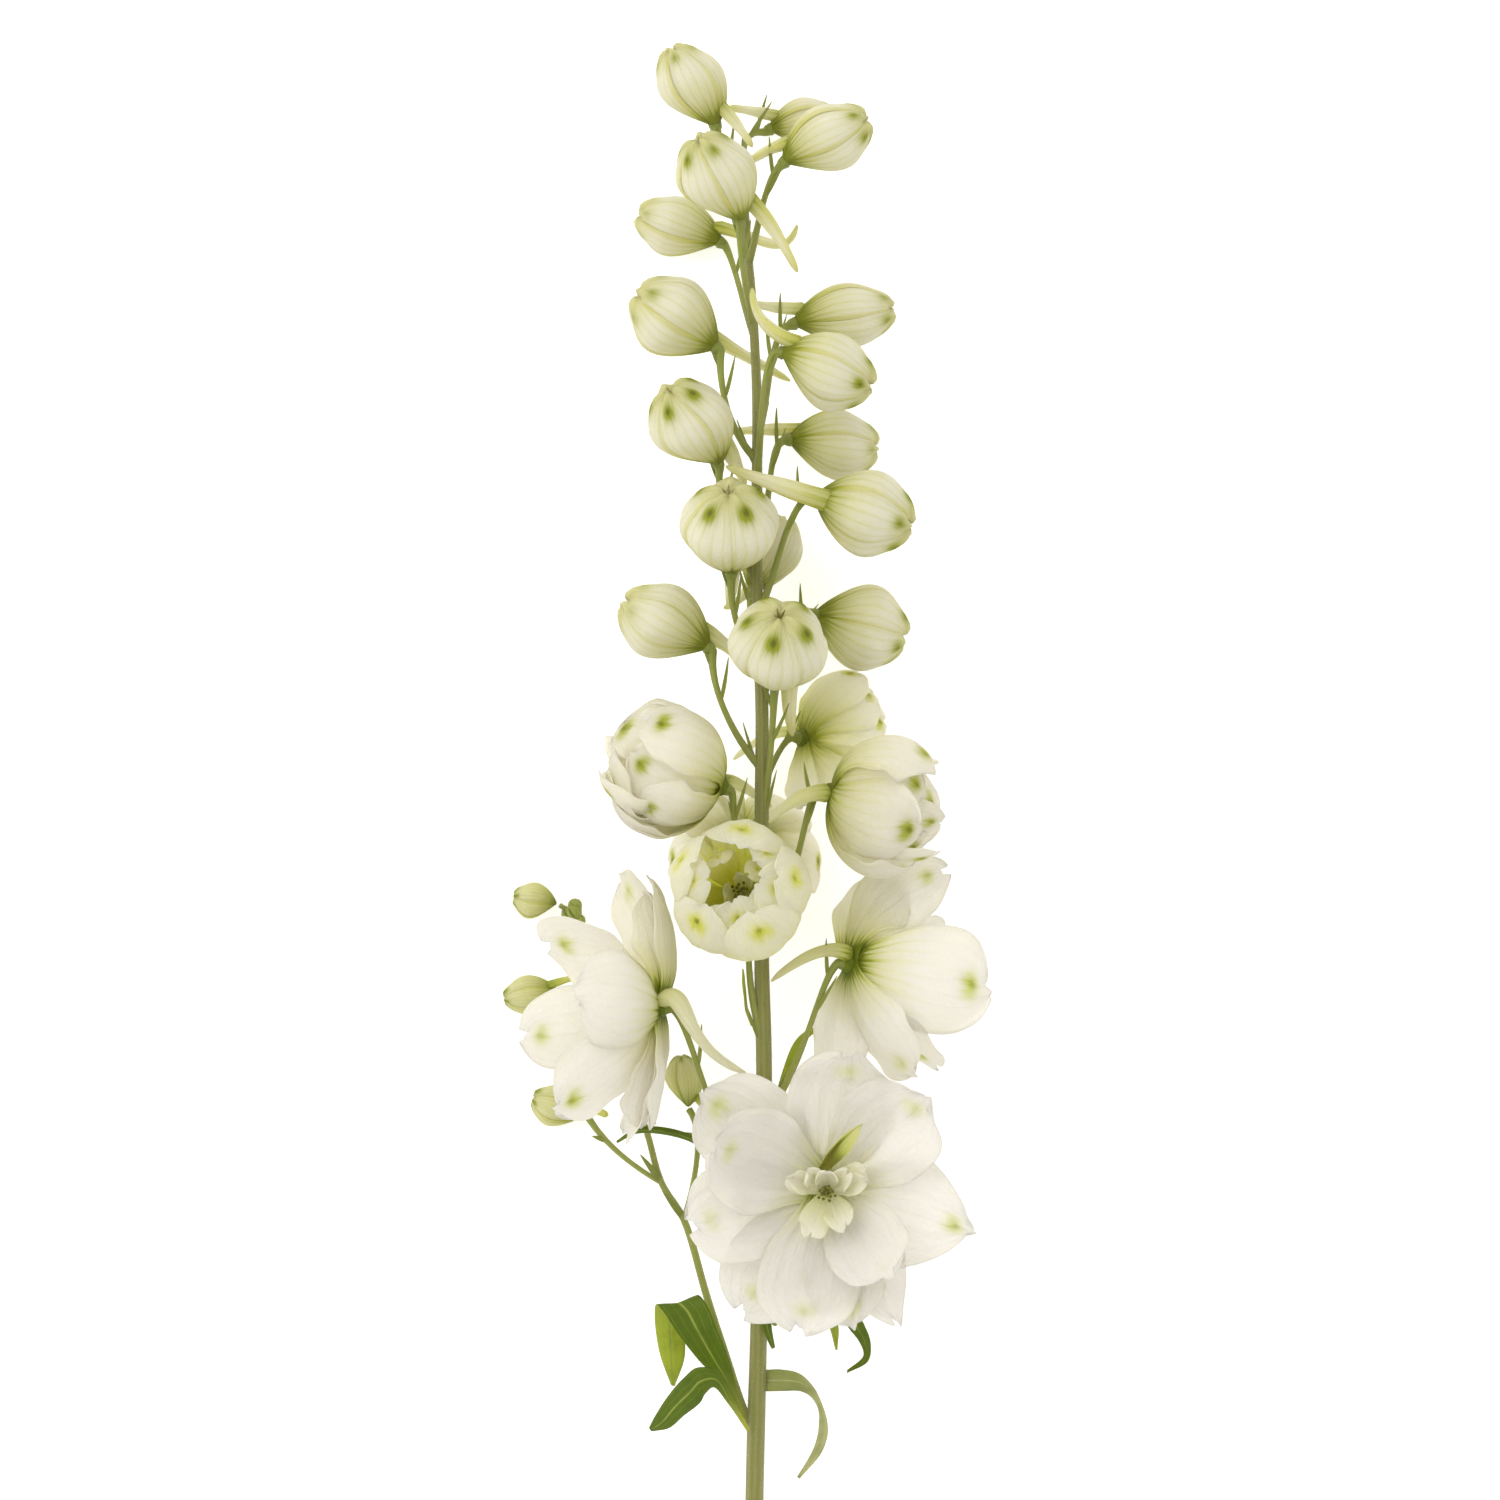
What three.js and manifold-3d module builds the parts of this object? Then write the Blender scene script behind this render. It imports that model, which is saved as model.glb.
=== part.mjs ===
// A cut delphinium spike, white and semi-double, lying on its back on a table.
// +Y runs up the spike, +Z is up from the table and the lowest blooms face up.
// All dimensions are in millimetres and all angles in degrees unless a name says otherwise.
import * as THREE from "three";
import { mergeVertices } from "three/addons/utils/BufferGeometryUtils.js";
import Module from "manifold-3d";

const wasm = await Module();
wasm.setup();

// ---------------------------------------------------------------- driving dimensions

const SPIKE_CENTRE = new THREE.Vector3(-2.15, -24.75, 0); // middle of the whole spike on the table
// From a pedicel's end to the middle of the flower's foot, which keeps their rims clear.
const CLEARANCE = { bud: 0.9, bloom: 0.72 };
const BLADE = 0.7; // thickness of a sepal
const LEAF_BLADE = 0.7;
const LEAF_ROWS = 1.4; // rows of a leaf's mesh for each of its stations
const SECTION = 0.1; // radius that shoots are extruded at, before each ring is drawn out
const TABLE_SLAB = { side: 600, depth: 20 };

const STEM_SIDES = 8;
const STEM_STEPS = 14;
const SIDE_STEPS = 20;
const STEM_RADIUS_FOOT = 2;
const STEM_RADIUS_TOP = 0.65;
const STEM_TAPER = 1.2; // power of the fall from the one radius to the other
const PEDICEL_SIDES = 4;
const PEDICEL_STEPS = 4;
const PEDICEL_RADIUS = { foot: 0.85, middle: 0.62, top: 0.95 };
// Bends of a pedicel where its row gives none: each is a share of its reach up or down the spike.
const PEDICEL_BEND = { leaving: 0.25, back: 0.14, below: 0.24 };
const PEDICEL_DROP = 0.4; // the pedicel's end sits this far below the middle of the flower's foot
// The pair of small leaves on a pedicel: the tips reach ahead and aside by these.
const BRACTEOLE = { width: 0.9, tip: 0.2, place: 0.6, ahead: 3, aside: 3.5 };

const BUD_SIDES = 15; // three for each of the five sepals
const BUD_HEIGHTS = [0, 0.08, 0.28, 0.55, 0.8, 0.94, 1]; // rings of a bud, as shares of its length
const BUD_GROOVE = 0.09; // depth of the grooves between the sepals, as a share of the radius
// Outline of a bud at height h: the sine of pi h^rise, to the power round. The dorsal side fills out
// early and the side across from it starts as a straight cone.
const BUD_SHAPE = { dorsal: { rise: 1.15, round: 0.6 }, ventral: { rise: 1.5, round: 0.68 } };

const SPUR_TIP = 0.45; // radius of a spur at its blunt tip
const SPUR_TAPER = 0.8;
const BUD_SPUR_ROOT = 0.14; // radius of a bud's spur at its root, as a share of the bud's width
const BLOOM_SPUR_ROOT = 1.6;
const SPUR_SIDES = 5;
const SPUR_STEPS = 4;
const KNOB_RADIUS = 2.2; // the receptacle that the sepals of a bloom grow from
const SPUR_SEAT = 0.7; // how far out in the receptacle a bloom's spur is rooted, as a share of it
const SEPAL_ROWS = [0, 0.3, 0.6, 0.85, 0.98]; // stations along a sepal, foot to tip
const SEPAL_COLUMNS = { narrow: 2, wide: 3 };
const WIDE_SEPAL = 16.5; // sepals from this width on have the finer columns
const BEE_ROWS = [0, 0.5, 0.94];
const CLAW = 0.2; // width of a sepal's foot, as a share of its full width
const WIDEST = 0.58; // where a sepal is widest, as a share of its length
const TIP_ROUNDNESS = 2.8; // power of the rounded end; 2 would be an ellipse
// Share of a sepal's length between its ends and its bends: a third makes a parabola, and the more
// it bulges the less it is, which makes it round.
const BEND_PLACE = 1 / 3;
const BEND_ROUNDING = 0.45;

const COLOUR = {
  stem: 0x7d8a4e,
  leaf: 0x557f2a,
  paleLeaf: 0x9bb04a,
  bud: 0xdfe0b4,
  sepal: 0xf1efe6,
  bee: 0xd3d68c,
  sideBud: 0xbcc47a,
};

// ---------------------------------------------------------------- where everything grows

// The stem's centre line from the cut end to the top.
const STEM_LINE = [
  [-1, -197.5, 1.85],
  [-0.5, -157.5, 8.5],
  [0, -136.5, 13],
  [0.5, -117.5, 18],
  [1.5, -69.5, 26],
  [1, -44, 27.5],
  [1, -10.5, 28],
  [1, 10.5, 27.5],
  [0, 31.5, 27],
  [0, 56.5, 25.5],
  [0, 73.5, 24],
  [-1, 94.5, 21.5],
  [-2, 107, 19.5],
  [-3, 125, 16.5],
];

// Closed buds, top of the spike first. Each has its base, the way it points (heading turns from +X
// towards +Y, rise lifts it off the table), its size, the bends and the tip of its spur, and the
// height up the stem where its pedicel leaves, with the pedicel's two control points where the
// plain rule doesn't do.
const BUDS = [
  { base: [-8.6, 131.5, 20], heading: 120, rise: 8, length: 18.5, width: 14,
    spur: [[-4, 132, 22], [-1, 127, 22.5]], foot: [111] },
  { base: [2.5, 131.5, 5.55], heading: 12, rise: -8, length: 14, width: 10.5,
    spur: [[-1, 135.5, 7], [-6, 136, 9]], foot: [122, [-3.4, 127.5, 13], [-2.6, 131.2, 8]] },
  { base: [5.5, 123.5, 26], heading: 27, rise: 8, length: 19.5, width: 14.5,
    spur: [[1.5, 126.5, 25], [-2.5, 123, 24]], foot: [103, [0.2, 109, 22.5], [1.4, 119.5, 25]] },
  { base: [-3.5, 111, 31], heading: 118, rise: 25, length: 20.5, width: 16.5,
    spur: [[3.5, 111, 29], [8.5, 100.5, 27]], foot: [90, [-2.2, 96.5, 24.5], [-3.9, 104.5, 28]] },
  { base: [-7.5, 107.5, 6.1], heading: 161, rise: -3, length: 18, width: 13,
    spur: [[1, 109, 7.5], [6, 103, 9], [8.5, 111, 11]],
    foot: [87, [-2.8, 93.5, 17], [-5, 104, 9.5]] },
  { base: [-8.4, 84.6, 25], heading: 146, rise: 10, length: 20, width: 17.5,
    spur: [[-3.5, 83.5, 18.5], [7, 78, 14]], foot: [61, [-5.5, 66, 26], [-8.2, 76, 25.5]] },
  { base: [7.5, 90, 15], heading: 9, rise: -6, length: 21, width: 13.5,
    spur: [[3, 93, 14], [-3.5, 95, 14]], foot: [66, [2.6, 73, 21.5], [2.6, 88.5, 16.5]] },
  { base: [5, 83.5, 32], heading: -21, rise: 8, length: 20, width: 16.5,
    spur: [[-1, 88, 32], [-1, 97, 29]], foot: [57, [0.9, 68, 29.5], [1.2, 82.6, 32]] },
  { base: [-8, 60, 29], heading: 124, rise: 30, length: 21, width: 17.5,
    spur: [[-4, 60.5, 26], [-2.5, 55.5, 20]], foot: [36, [-5.5, 44, 22], [-8.6, 53.5, 25.5]] },
  { base: [6.5, 65.5, 16], heading: -5, rise: -10, length: 18.5, width: 15,
    spur: [[1, 68, 15], [-6, 67, 16]], foot: [44, [3.4, 50, 23], [1.9, 64, 17.5]] },
  { base: [12.2, 53.2, 31], heading: -17, rise: 5, length: 20.5, width: 18.5,
    spur: [[3, 56, 31], [-6.5, 59.5, 34]], foot: [29, [4.5, 36, 28], [5.4, 50.5, 30.5]] },
  { base: [-5.4, 37, 31], heading: 92, rise: 40, length: 22, width: 21,
    spur: [[-5, 36, 24], [-6, 30, 20]], foot: [18, [-3.4, 21, 28], [-5.8, 30, 29.5]] },
  { base: [-1, 33.5, 13], heading: 65, rise: -15, length: 17, width: 13,
    spur: [[-2.5, 31.5, 12], [-7, 30, 14]], foot: [24] },
  { base: [-10, 21.4, 27], heading: 151, rise: 5, length: 20, width: 16.5,
    spur: [[-6, 22.5, 24], [-2.5, 18, 19]], foot: [-4, [-4.5, 2, 28], [-10, 12.5, 28]] },
  { base: [4, 13.5, 33], heading: 87, rise: 50, length: 22.5, width: 21,
    spur: [[6, 11, 27], [7.5, 3, 23]], foot: [-14, [2.6, -7, 29.5], [3.2, 3.5, 30]] },
  { base: [12, 28.6, 17], heading: -14, rise: -8, length: 19.5, width: 18.5,
    spur: [[5, 30, 16], [-2, 28, 15]], foot: [11] },
];

// Blooms, top of the spike first. A sepal is given by its tip measured from the bloom's base, its
// width, how far it bulges outwards (a share of its length), the radius it is cupped to across and,
// where it twists about its own length, by how many degrees.
const BLOOMS = [
  { base: [10, 2.5, 15], heading: -6, rise: -32,
    spur: [[4, 6, 12], [-5, -2, 12]], foot: [-8, [2.5, -5, 20.5], [5.5, 3, 18.5]],
    sepals: [
      [12.5, 14.5, -3, 19, 0.25, 12], [18, 3, -1, 17, 0.25, 12], [14, -9, -3, 16, 0.25, 12],
      [-1.5, -15, 3.5, 12, 0.06, 13], [6, 9, -11, 14, 0.25, 13], [8, -6, -12, 14, 0.25, 13],
    ] },
  { base: [-8, -7.5, 33], heading: 157, rise: 18,
    spur: [[-5.5, -5, 21], [3, -12, 18]], foot: [-31.5, [-6, -21, 31], [-4.4, -10.8, 31.6]],
    sepals: [
      [-17, 13, 12, 22, 0.36, 11], [-18, -2, 10, 22, 0.34, 11], [-23, 12, 3, 24, 0.4, 12],
      [-24, -2, 1, 22, 0.38, 12], [-23, 5, -7, 24, 0.4, 12], [-26.5, 2, 8, 17, 0.26, 9],
    ] },
  { base: [15.5, -9, 36], heading: -14, rise: 6,
    spur: [[9, -8, 41.5], [2.5, -15, 35]], foot: [-38, [10, -27, 31], [9.5, -11.5, 35]],
    sepals: [
      [23.5, 5.5, 5, 23, 0.36, 11], [20, -8, 10, 21, 0.34, 11], [19, -16, -1, 22, 0.36, 11],
      [24.5, -6, -6, 23, 0.36, 12], [23, -14, 5, 9, 0.2, 8],
    ] },
  { base: [-2.5, -31.5, 34], heading: 120, rise: 72,
    spur: [[-9, -24, 27], [-9, -37, 22]], foot: [-61, [-3, -50, 31], [-1.5, -36, 27]],
    sepals: [
      [-2, 13, 20, 22, 0.42, 11], [7, 6, 22, 20, 0.42, 10], [1, -2.5, 24, 22, 0.46, 11],
      [-9, -1, 22, 20, 0.44, 10], [-12, 9, 20, 20, 0.36, 10], [-6, -1.5, 21, 11, 0.35, 9],
    ] },
  { base: [-3, -19, 21], heading: -80, rise: -65,
    spur: [[-5, -12.6, 25.4], [-9, -9, 21]], foot: [-44, [-1, -34, 26], [-4, -17, 28]],
    sepals: [
      [-16.2, -5.4, -9, 17, 0.2, 16], [17, -6, -13, 17, 0.2, 16], [13.5, -13, -15, 14, 0.2, 16],
      [-9.4, 8.3, -9, 15, 0.2, 16], [11.3, 6.8, -16.5, 15, 0.2, 16], [-3, -16, -14, 16, 0.2, 16],
    ] },
  { base: [19.5, -45, 30], heading: -12, rise: -22,
    spur: [[14.5, -39, 33], [3, -48.5, 32]], foot: [-77.5, [10, -67, 28], [12.6, -49.5, 33]],
    sepals: [
      [11, 17, -9, 20, 0.18, 18, 35], [20.5, 19.5, -8, 17, 0.15, 18, 55], [29.5, -5, 5, 25, 0.14, 20],
      [14, -23, 5, 20, 0.14, 20], [19, -21.5, -6, 19, 0.12, 20], [-3, -25, -6, 16, 0.05, 18, -30],
      [11, -8, -30.3, 19, 0.1, 18], [20, 6, -19, 18, 0.12, 18],
    ] },
  { base: [-20.5, -54, 34], heading: 182, rise: -22,
    spur: [[-14, -47.5, 42], [-17, -62, 43], [-2.4, -67.8, 32]],
    foot: [-94.5, [-9.5, -84, 27], [-13.6, -57, 34]],
    sepals: [
      [-2.5, 27.5, 0, 17, 0.16, 18, 10], [-8.5, 27.5, -9, 17, 0.08, 18, 55], [-17.5, 3, 17, 23, 0.2, 18],
      [-22, -21, 8, 23, 0.14, 20], [-2, -25.5, -1, 21, 0.08, 18, -30], [-29, -6, 2, 20, 0.14, 20],
      [-24, 12.5, -7, 22, 0.2, 20, 60], [-6, -6, -23, 18, 0.12, 18], [-7.5, -27, -8, 17, 0.12, 18, -30],
    ] },
  { base: [14.5, -92, 33], heading: -90, rise: 84,
    spur: [[18, -87, 27], [20, -79, 19]], foot: [-113.5, [4, -105, 24], [14, -94, 23]],
    sepals: [
      [5.5, 28.5, 8, 24, 0.08, 30], [21, 19.5, 10, 24, 0.08, 30], [13.5, -18.5, 10, 19, 0.1, 20],
      [31, -9, 0, 24, 0.04, 40], [15, -28.5, -1, 17, 0.04, 30], [-5.5, -30, 3, 22, 0.06, 30],
      [6, -29, 1, 17, 0.06, 30], [-18, -26, -1, 20, 0.06, 30], [-28.5, -7.5, 3, 23, 0.08, 25],
      [-23.5, 9.5, 9, 24, 0.1, 25], [-26, 20, 4, 23, 0.06, 30],
    ] },
];

// The inner petals stand clear of the sepals, round a boss of stamens. Each is given like a sepal.
const BEE_LIFT = 3.1; // from a bloom's base to the foot of its inner petals
const BEE_BOSS = 1.8; // radius of the boss of stamens
const PLAIN_BEE = { reach: 3.4, rise: 5, width: 4.4, angles: [50, 180, 310] };
const OPEN_BEE = [
  [-3.5, -9.5, 4, 7, 0.1, 8], [4, -7.5, 4, 6.5, 0.1, 8], [-8, 2.5, 4, 5, 0.1, 8],
  [8.5, 4.5, 4, 5.5, 0.1, 8], [8, 14.5, 5, 2.6, 0.1, 8],
];

// The side shoot, and the buds on it, from its root in the axil to its tip.
const SIDE_LINE = [
  [-0.5, -144.5, 11], [-3, -139, 12], [-6.6, -128, 13.5], [-10.6, -115.5, 13], [-15.5, -99.3, 10],
  [-20.2, -91.7, 7], [-23.5, -80.4, 5.5], [-31, -59, 3.5], [-38.5, -35.5, 3.5], [-41.8, -32.9, 4.5],
];
const SIDE_RADIUS = { foot: 0.95, tip: 0.55, pedicel: 0.55, swelling: 0.2 };
const SIDE_LEAF = [-3, 1, 0.6]; // tip of the small leaf near a side bud, from its root
const SIDE_BRACT = [-4.5, 6, 0.8]; // tip of the bract where a side pedicel leaves
const SIDE_LEAF_PLACE = 0.72;
const SIDE_PEDICELS = [
  { path: [[-15.5, -99.3, 10], [-13.6, -93, 12], [-10.5, -81, 13.5], [-14.4, -75.9, 13]], leaves: true },
  { path: [[-20.2, -91.7, 7], [-26, -88.4, 6], [-32, -84, 4.4], [-35.8, -77.9, 4.1]], leaves: true },
  { path: [[-32, -56, 3.5], [-35, -53, 3.8], [-38, -52, 3.6], [-42, -51.1, 3.6]], leaves: false },
];
const TINY_BUDS = [ // the tight cluster at the shoot's tip: place, radius
  [-38.6, -34.8, 4.6, 1.6], [-39.4, -35.6, 3.4, 1.8], [-38.4, -33.4, 4.2, 1.4], [-37.6, -36.6, 4, 1.3],
];
const SIDE_BUDS = [
  { base: [-42.6, -32.6, 4.6], heading: 172, rise: 4, length: 8.8, width: 7.6, spur: null },
  { base: [-42.4, -51, 3.55], heading: -172, rise: 0, length: 11, width: 8,
    spur: [[-40.5, -48.6, 5.5], [-37.5, -48, 6]] },
  { base: [-36.8, -77.6, 4.1], heading: 160, rise: 0, length: 11, width: 9,
    spur: [[-34, -76, 6.2], [-31.6, -77.4, 8]] },
  { base: [-14.6, -75.3, 13], heading: 98, rise: 5, length: 10.5, width: 8,
    spur: [[-11.5, -74.5, 14], [-9.6, -78.5, 15]] },
];

// Leaves: each station holds the two edges of the blade, so that a blade can fold over.
const LEAVES = {
  leaf_1: { keel: 0.9, pale: false, stations: [
    [[-3, -142.7, 13.2], [-2.4, -142, 13.8]], [[-7, -134.5, 15], [-4.2, -135.5, 16]],
    [[-12.5, -128.5, 17.5], [-5.8, -129, 18]], [[-17, -122.5, 20], [-8.5, -122, 20.5]],
    [[-19.8, -118.2, 21.5], [-10.5, -117, 21.5]], [[-21.2, -116.8, 19.5], [-12.5, -115, 19.5]],
    [[-21.6, -120, 15], [-15, -119, 15]], [[-20.6, -127.5, 11], [-15.3, -128.5, 11]],
    [[-18.2, -134.4, 8], [-17.4, -134.6, 8]],
  ] },
  leaf_2: { keel: 0.5, pale: false, stations: [
    [[-1.4, -143.6, 14.1], [-2.1, -143.9, 13.9]], [[-4.9, -137, 19.4], [-6.1, -137.8, 19]],
    [[-8.4, -130.8, 22.5], [-9.2, -134.2, 22]], [[-12.6, -130, 23.8], [-10.8, -135.4, 23.4]],
    [[-15.2, -132, 22.5], [-12, -137.5, 22]], [[-18.6, -136, 19], [-15.4, -140.4, 18.5]],
    [[-21.4, -140.4, 15.5], [-18.6, -143.2, 15]], [[-22.8, -143.2, 13], [-22.2, -144, 13]],
  ] },
  leaf_3: { keel: 0.5, pale: false, stations: [
    [[2.6, -131, 14], [2.6, -135.6, 13.4]], [[5, -130.8, 15.5], [5.4, -135.4, 15]],
    [[9, -131.6, 17], [9.2, -135.4, 16.5]], [[11.6, -134, 17], [11.4, -136.6, 16.5]],
    [[13.6, -137.6, 16], [12.9, -139, 16]], [[14.9, -142, 13.5], [13.1, -142, 14]],
    [[14.9, -145.2, 11.5], [12.8, -145, 12]], [[13.5, -149, 9.5], [11.7, -148.4, 9.8]],
    [[9, -154.4, 7], [8.5, -154, 7]],
  ] },
  leaf_4: { keel: 0.4, pale: false, stations: [
    [[3, -114.6, 18.4], [3, -116, 18]], [[9, -115.4, 21], [9, -117.2, 20.6]],
    [[20.8, -118.6, 23], [17.6, -120, 22.6]], [[23, -122, 22], [19.8, -122.4, 21.6]],
    [[24, -125.6, 20], [21.6, -124.8, 19.8]], [[23.4, -129, 18], [22.4, -127.8, 17.6]],
    [[19, -131.6, 15], [19, -131, 15]],
  ] },
  leaf_5: { keel: 0.3, pale: true, stations: [
    [[3, -112, 17.6], [3, -113.2, 17.2]], [[9, -113.2, 18.4], [8.2, -114.8, 18]],
    [[16.8, -120.4, 19], [14.6, -120.6, 18.6]], [[17, -126.6, 17], [16.6, -126.6, 17]],
  ] },
  bract_1: { keel: 0.4, pale: false, stations: [
    [[3.2, -76.6, 23.7], [4.2, -76, 22.7]], [[4.8, -69.6, 22], [6.4, -69.2, 21.6]],
    [[8.2, -61.2, 20], [9.6, -62.2, 19.6]], [[12, -58.6, 17.4], [12.2, -59.8, 17]],
    [[15.2, -59.2, 14], [15.2, -59.8, 14]],
  ] },
  bract_2: { keel: 0.4, pale: false, stations: [
    [[-1.2, -92.7, 24.9], [-0.9, -94.2, 24.4]], [[-10, -83.8, 26], [-9.4, -85.4, 25.6]],
    [[-14.2, -80.8, 26], [-14, -82.4, 25.6]], [[-20.5, -79.2, 25], [-20.5, -80.8, 24.6]],
    [[-25.5, -79.6, 23.4], [-25.4, -80.8, 23]], [[-29.6, -82.4, 21], [-29.4, -82.8, 21]],
  ] },
  bract_3: { keel: 0.3, pale: false, stations: [
    [[0.4, -117.2, 20.6], [2.6, -117.2, 20.1]], [[0.9, -121, 20.4], [3, -121, 19.9]],
    [[2, -124, 19.5], [3.4, -123.8, 19.1]], [[3.1, -126.3, 18.3], [3.8, -126, 18.1]],
  ] },
  bract_4: { keel: 0.3, pale: true, stations: [
    [[-1.3, -57.8, 27], [-1.1, -58, 28.4]], [[-2.4, -54.6, 27.4], [-2.2, -54.6, 28.9]],
    [[-3, -50.2, 28.2], [-2.6, -50, 29.6]], [[-3.1, -46, 29.4], [-2.9, -46, 29.9]],
  ] },
};

// ---------------------------------------------------------------- small helpers

const RAD = Math.PI / 180;
const vec = (p) => new THREE.Vector3(p[0], p[1], p[2]);

// The unit vector that points along a heading on the table, lifted by a rise.
function direction(heading, rise) {
  return new THREE.Vector3(
    Math.cos(rise * RAD) * Math.cos(heading * RAD),
    Math.cos(rise * RAD) * Math.sin(heading * RAD),
    Math.sin(rise * RAD),
  );
}

// The part of v that is square to the unit vector axis, made a unit vector.
function squareTo(v, axis) {
  return v.clone().addScaledVector(axis, -v.dot(axis)).normalize();
}

// A closed geometry as a solid for joining and cutting.
function solidOf(geometry) {
  const bare = geometry.index ? geometry.toNonIndexed() : geometry.clone();
  const shell = new THREE.BufferGeometry();
  shell.setAttribute("position", bare.getAttribute("position"));
  const merged = mergeVertices(shell, 1e-4);
  return new wasm.Manifold(new wasm.Mesh({
    numProp: 3,
    vertProperties: merged.attributes.position.array,
    triVerts: new Uint32Array(merged.index.array),
  }));
}

// The table itself, as a slab that trims a small flat spot where a piece rests on it.
const slab = new THREE.BoxGeometry(TABLE_SLAB.side, TABLE_SLAB.side, TABLE_SLAB.depth);
const TABLE = solidOf(slab.translate(0, 0, -TABLE_SLAB.depth / 2));

// Joins closed geometries into one body, trimmed where it would reach into the table. Only the
// outer body is kept, which fills any small hollow that the joining seals.
function fuse(geometries) {
  let body = solidOf(geometries[0]);
  for (const geometry of geometries.slice(1)) {
    body = body.add(solidOf(geometry));
  }
  if (body.boundingBox().min[2] < 0) {
    body = body.subtract(TABLE);
  }
  const [outer] = body.decompose().sort((a, b) => b.volume() - a.volume());
  const mesh = outer.getMesh();
  const fused = new THREE.BufferGeometry();
  fused.setAttribute("position", new THREE.BufferAttribute(mesh.vertProperties, 3));
  fused.setIndex(new THREE.BufferAttribute(mesh.triVerts, 1));
  fused.computeVertexNormals();
  return fused;
}

// ---------------------------------------------------------------- shoots

// A shoot along a curve: a thin round section is extruded, then each ring is drawn out to its radius.
function shoot(curve, radiusAt, sides, steps) {
  const section = new THREE.Shape();
  for (let i = 0; i < sides; i += 1) {
    const turn = (i / sides) * 2 * Math.PI;
    const corner = [SECTION * Math.cos(turn), SECTION * Math.sin(turn)];
    if (i === 0) {
      section.moveTo(...corner);
    } else {
      section.lineTo(...corner);
    }
  }
  section.closePath();
  const tube = new THREE.ExtrudeGeometry(section, { steps, extrudePath: curve, bevelEnabled: false });
  const rings = curve.getSpacedPoints(steps);
  const points = tube.attributes.position;
  const corner = new THREE.Vector3();
  for (let i = 0; i < points.count; i += 1) {
    corner.fromBufferAttribute(points, i);
    let nearest = 0;
    rings.forEach((ring, step) => {
      if (ring.distanceTo(corner) < rings[nearest].distanceTo(corner)) {
        nearest = step;
      }
    });
    corner.sub(rings[nearest]).multiplyScalar(radiusAt(nearest / steps) / SECTION).add(rings[nearest]);
    points.setXYZ(i, corner.x, corner.y, corner.z);
  }
  return tube;
}

// A small pointed leaflet: a three-sided spike.
function leaflet(root, tip, width) {
  const radius = (t) => width / 2 - (width / 2 - BRACTEOLE.tip) * t;
  return shoot(new THREE.LineCurve3(root, tip), radius, 3, 1);
}

// A pedicel: full at its foot, slimmer in the middle and swollen under the flower.
function pedicelRadius(t) {
  const { foot, middle, top } = PEDICEL_RADIUS;
  return t < 0.5 ? foot + (middle - foot) * t * 2 : middle + (top - middle) * (t * 2 - 1) ** 3;
}

// A spur, from its root inside the flower through its bends: it tapers to a blunt tip.
function spurShoot(root, spur, rootRadius) {
  const ends = [root, ...spur.map(vec)];
  const curve = spur.length > 2
    ? new THREE.CubicBezierCurve3(...ends)
    : new THREE.QuadraticBezierCurve3(...ends);
  const radius = (t) => SPUR_TIP + (rootRadius - SPUR_TIP) * (1 - t) ** SPUR_TAPER;
  return shoot(curve, radius, SPUR_SIDES, SPUR_STEPS);
}

// ---------------------------------------------------------------- closed buds

// How far a bud reaches from its axis at a height and a turn from the dorsal side, 1 at most.
function budReach(height, turn) {
  const { dorsal: full, ventral: slim } = BUD_SHAPE;
  const side = ({ rise, round }) => Math.max(0, Math.sin(Math.PI * height ** rise)) ** round;
  const near = (1 + Math.cos(turn)) / 2;
  return near * side(full) + (1 - near) * side(slim);
}

// The body of a bud: rings of five lobes, closed to a point at the foot and at the tip.
function budBody(base, facing, up, length, width) {
  const side = facing.clone().cross(up);
  const rings = BUD_HEIGHTS.slice(1, -1);
  const points = [];
  const add = (height, turn) => {
    const lobe = 1 - BUD_GROOVE * (0.5 - 0.5 * Math.cos(5 * turn)) ** 2;
    const reach = (budReach(height, turn) * lobe * width) / 2;
    points.push(base.clone()
      .addScaledVector(facing, height * length)
      .addScaledVector(up, reach * Math.cos(turn))
      .addScaledVector(side, reach * Math.sin(turn)));
  };
  rings.forEach((height) => {
    for (let i = 0; i < BUD_SIDES; i += 1) {
      add(height, (i / BUD_SIDES) * 2 * Math.PI);
    }
  });
  const foot = points.length;
  add(BUD_HEIGHTS[0], 0);
  add(BUD_HEIGHTS.at(-1), 0);
  const last = (rings.length - 1) * BUD_SIDES;
  const faces = [];
  for (let i = 0; i < BUD_SIDES; i += 1) {
    const next = (i + 1) % BUD_SIDES;
    faces.push(foot, next, i);
    for (let a = 0; a < last; a += BUD_SIDES) {
      faces.push(a + i, a + next, a + BUD_SIDES + i);
      faces.push(a + next, a + BUD_SIDES + next, a + BUD_SIDES + i);
    }
    faces.push(foot + 1, last + i, last + next);
  }
  const body = new THREE.BufferGeometry().setFromPoints(points);
  body.setIndex(faces);
  return body;
}

// A bud with its spur, as one body.
function budGeometry(bud) {
  const base = vec(bud.base);
  const facing = direction(bud.heading, bud.rise);
  const up = dorsal(bud, facing);
  const pieces = [budBody(base, facing, up, bud.length, bud.width)];
  if (bud.spur) {
    const rootRadius = BUD_SPUR_ROOT * bud.width;
    const root = base.clone().addScaledVector(up, 1.5 * rootRadius).addScaledVector(facing, 2 * rootRadius);
    pieces.push(spurShoot(root, bud.spur, rootRadius));
  }
  return fuse(pieces);
}

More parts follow.
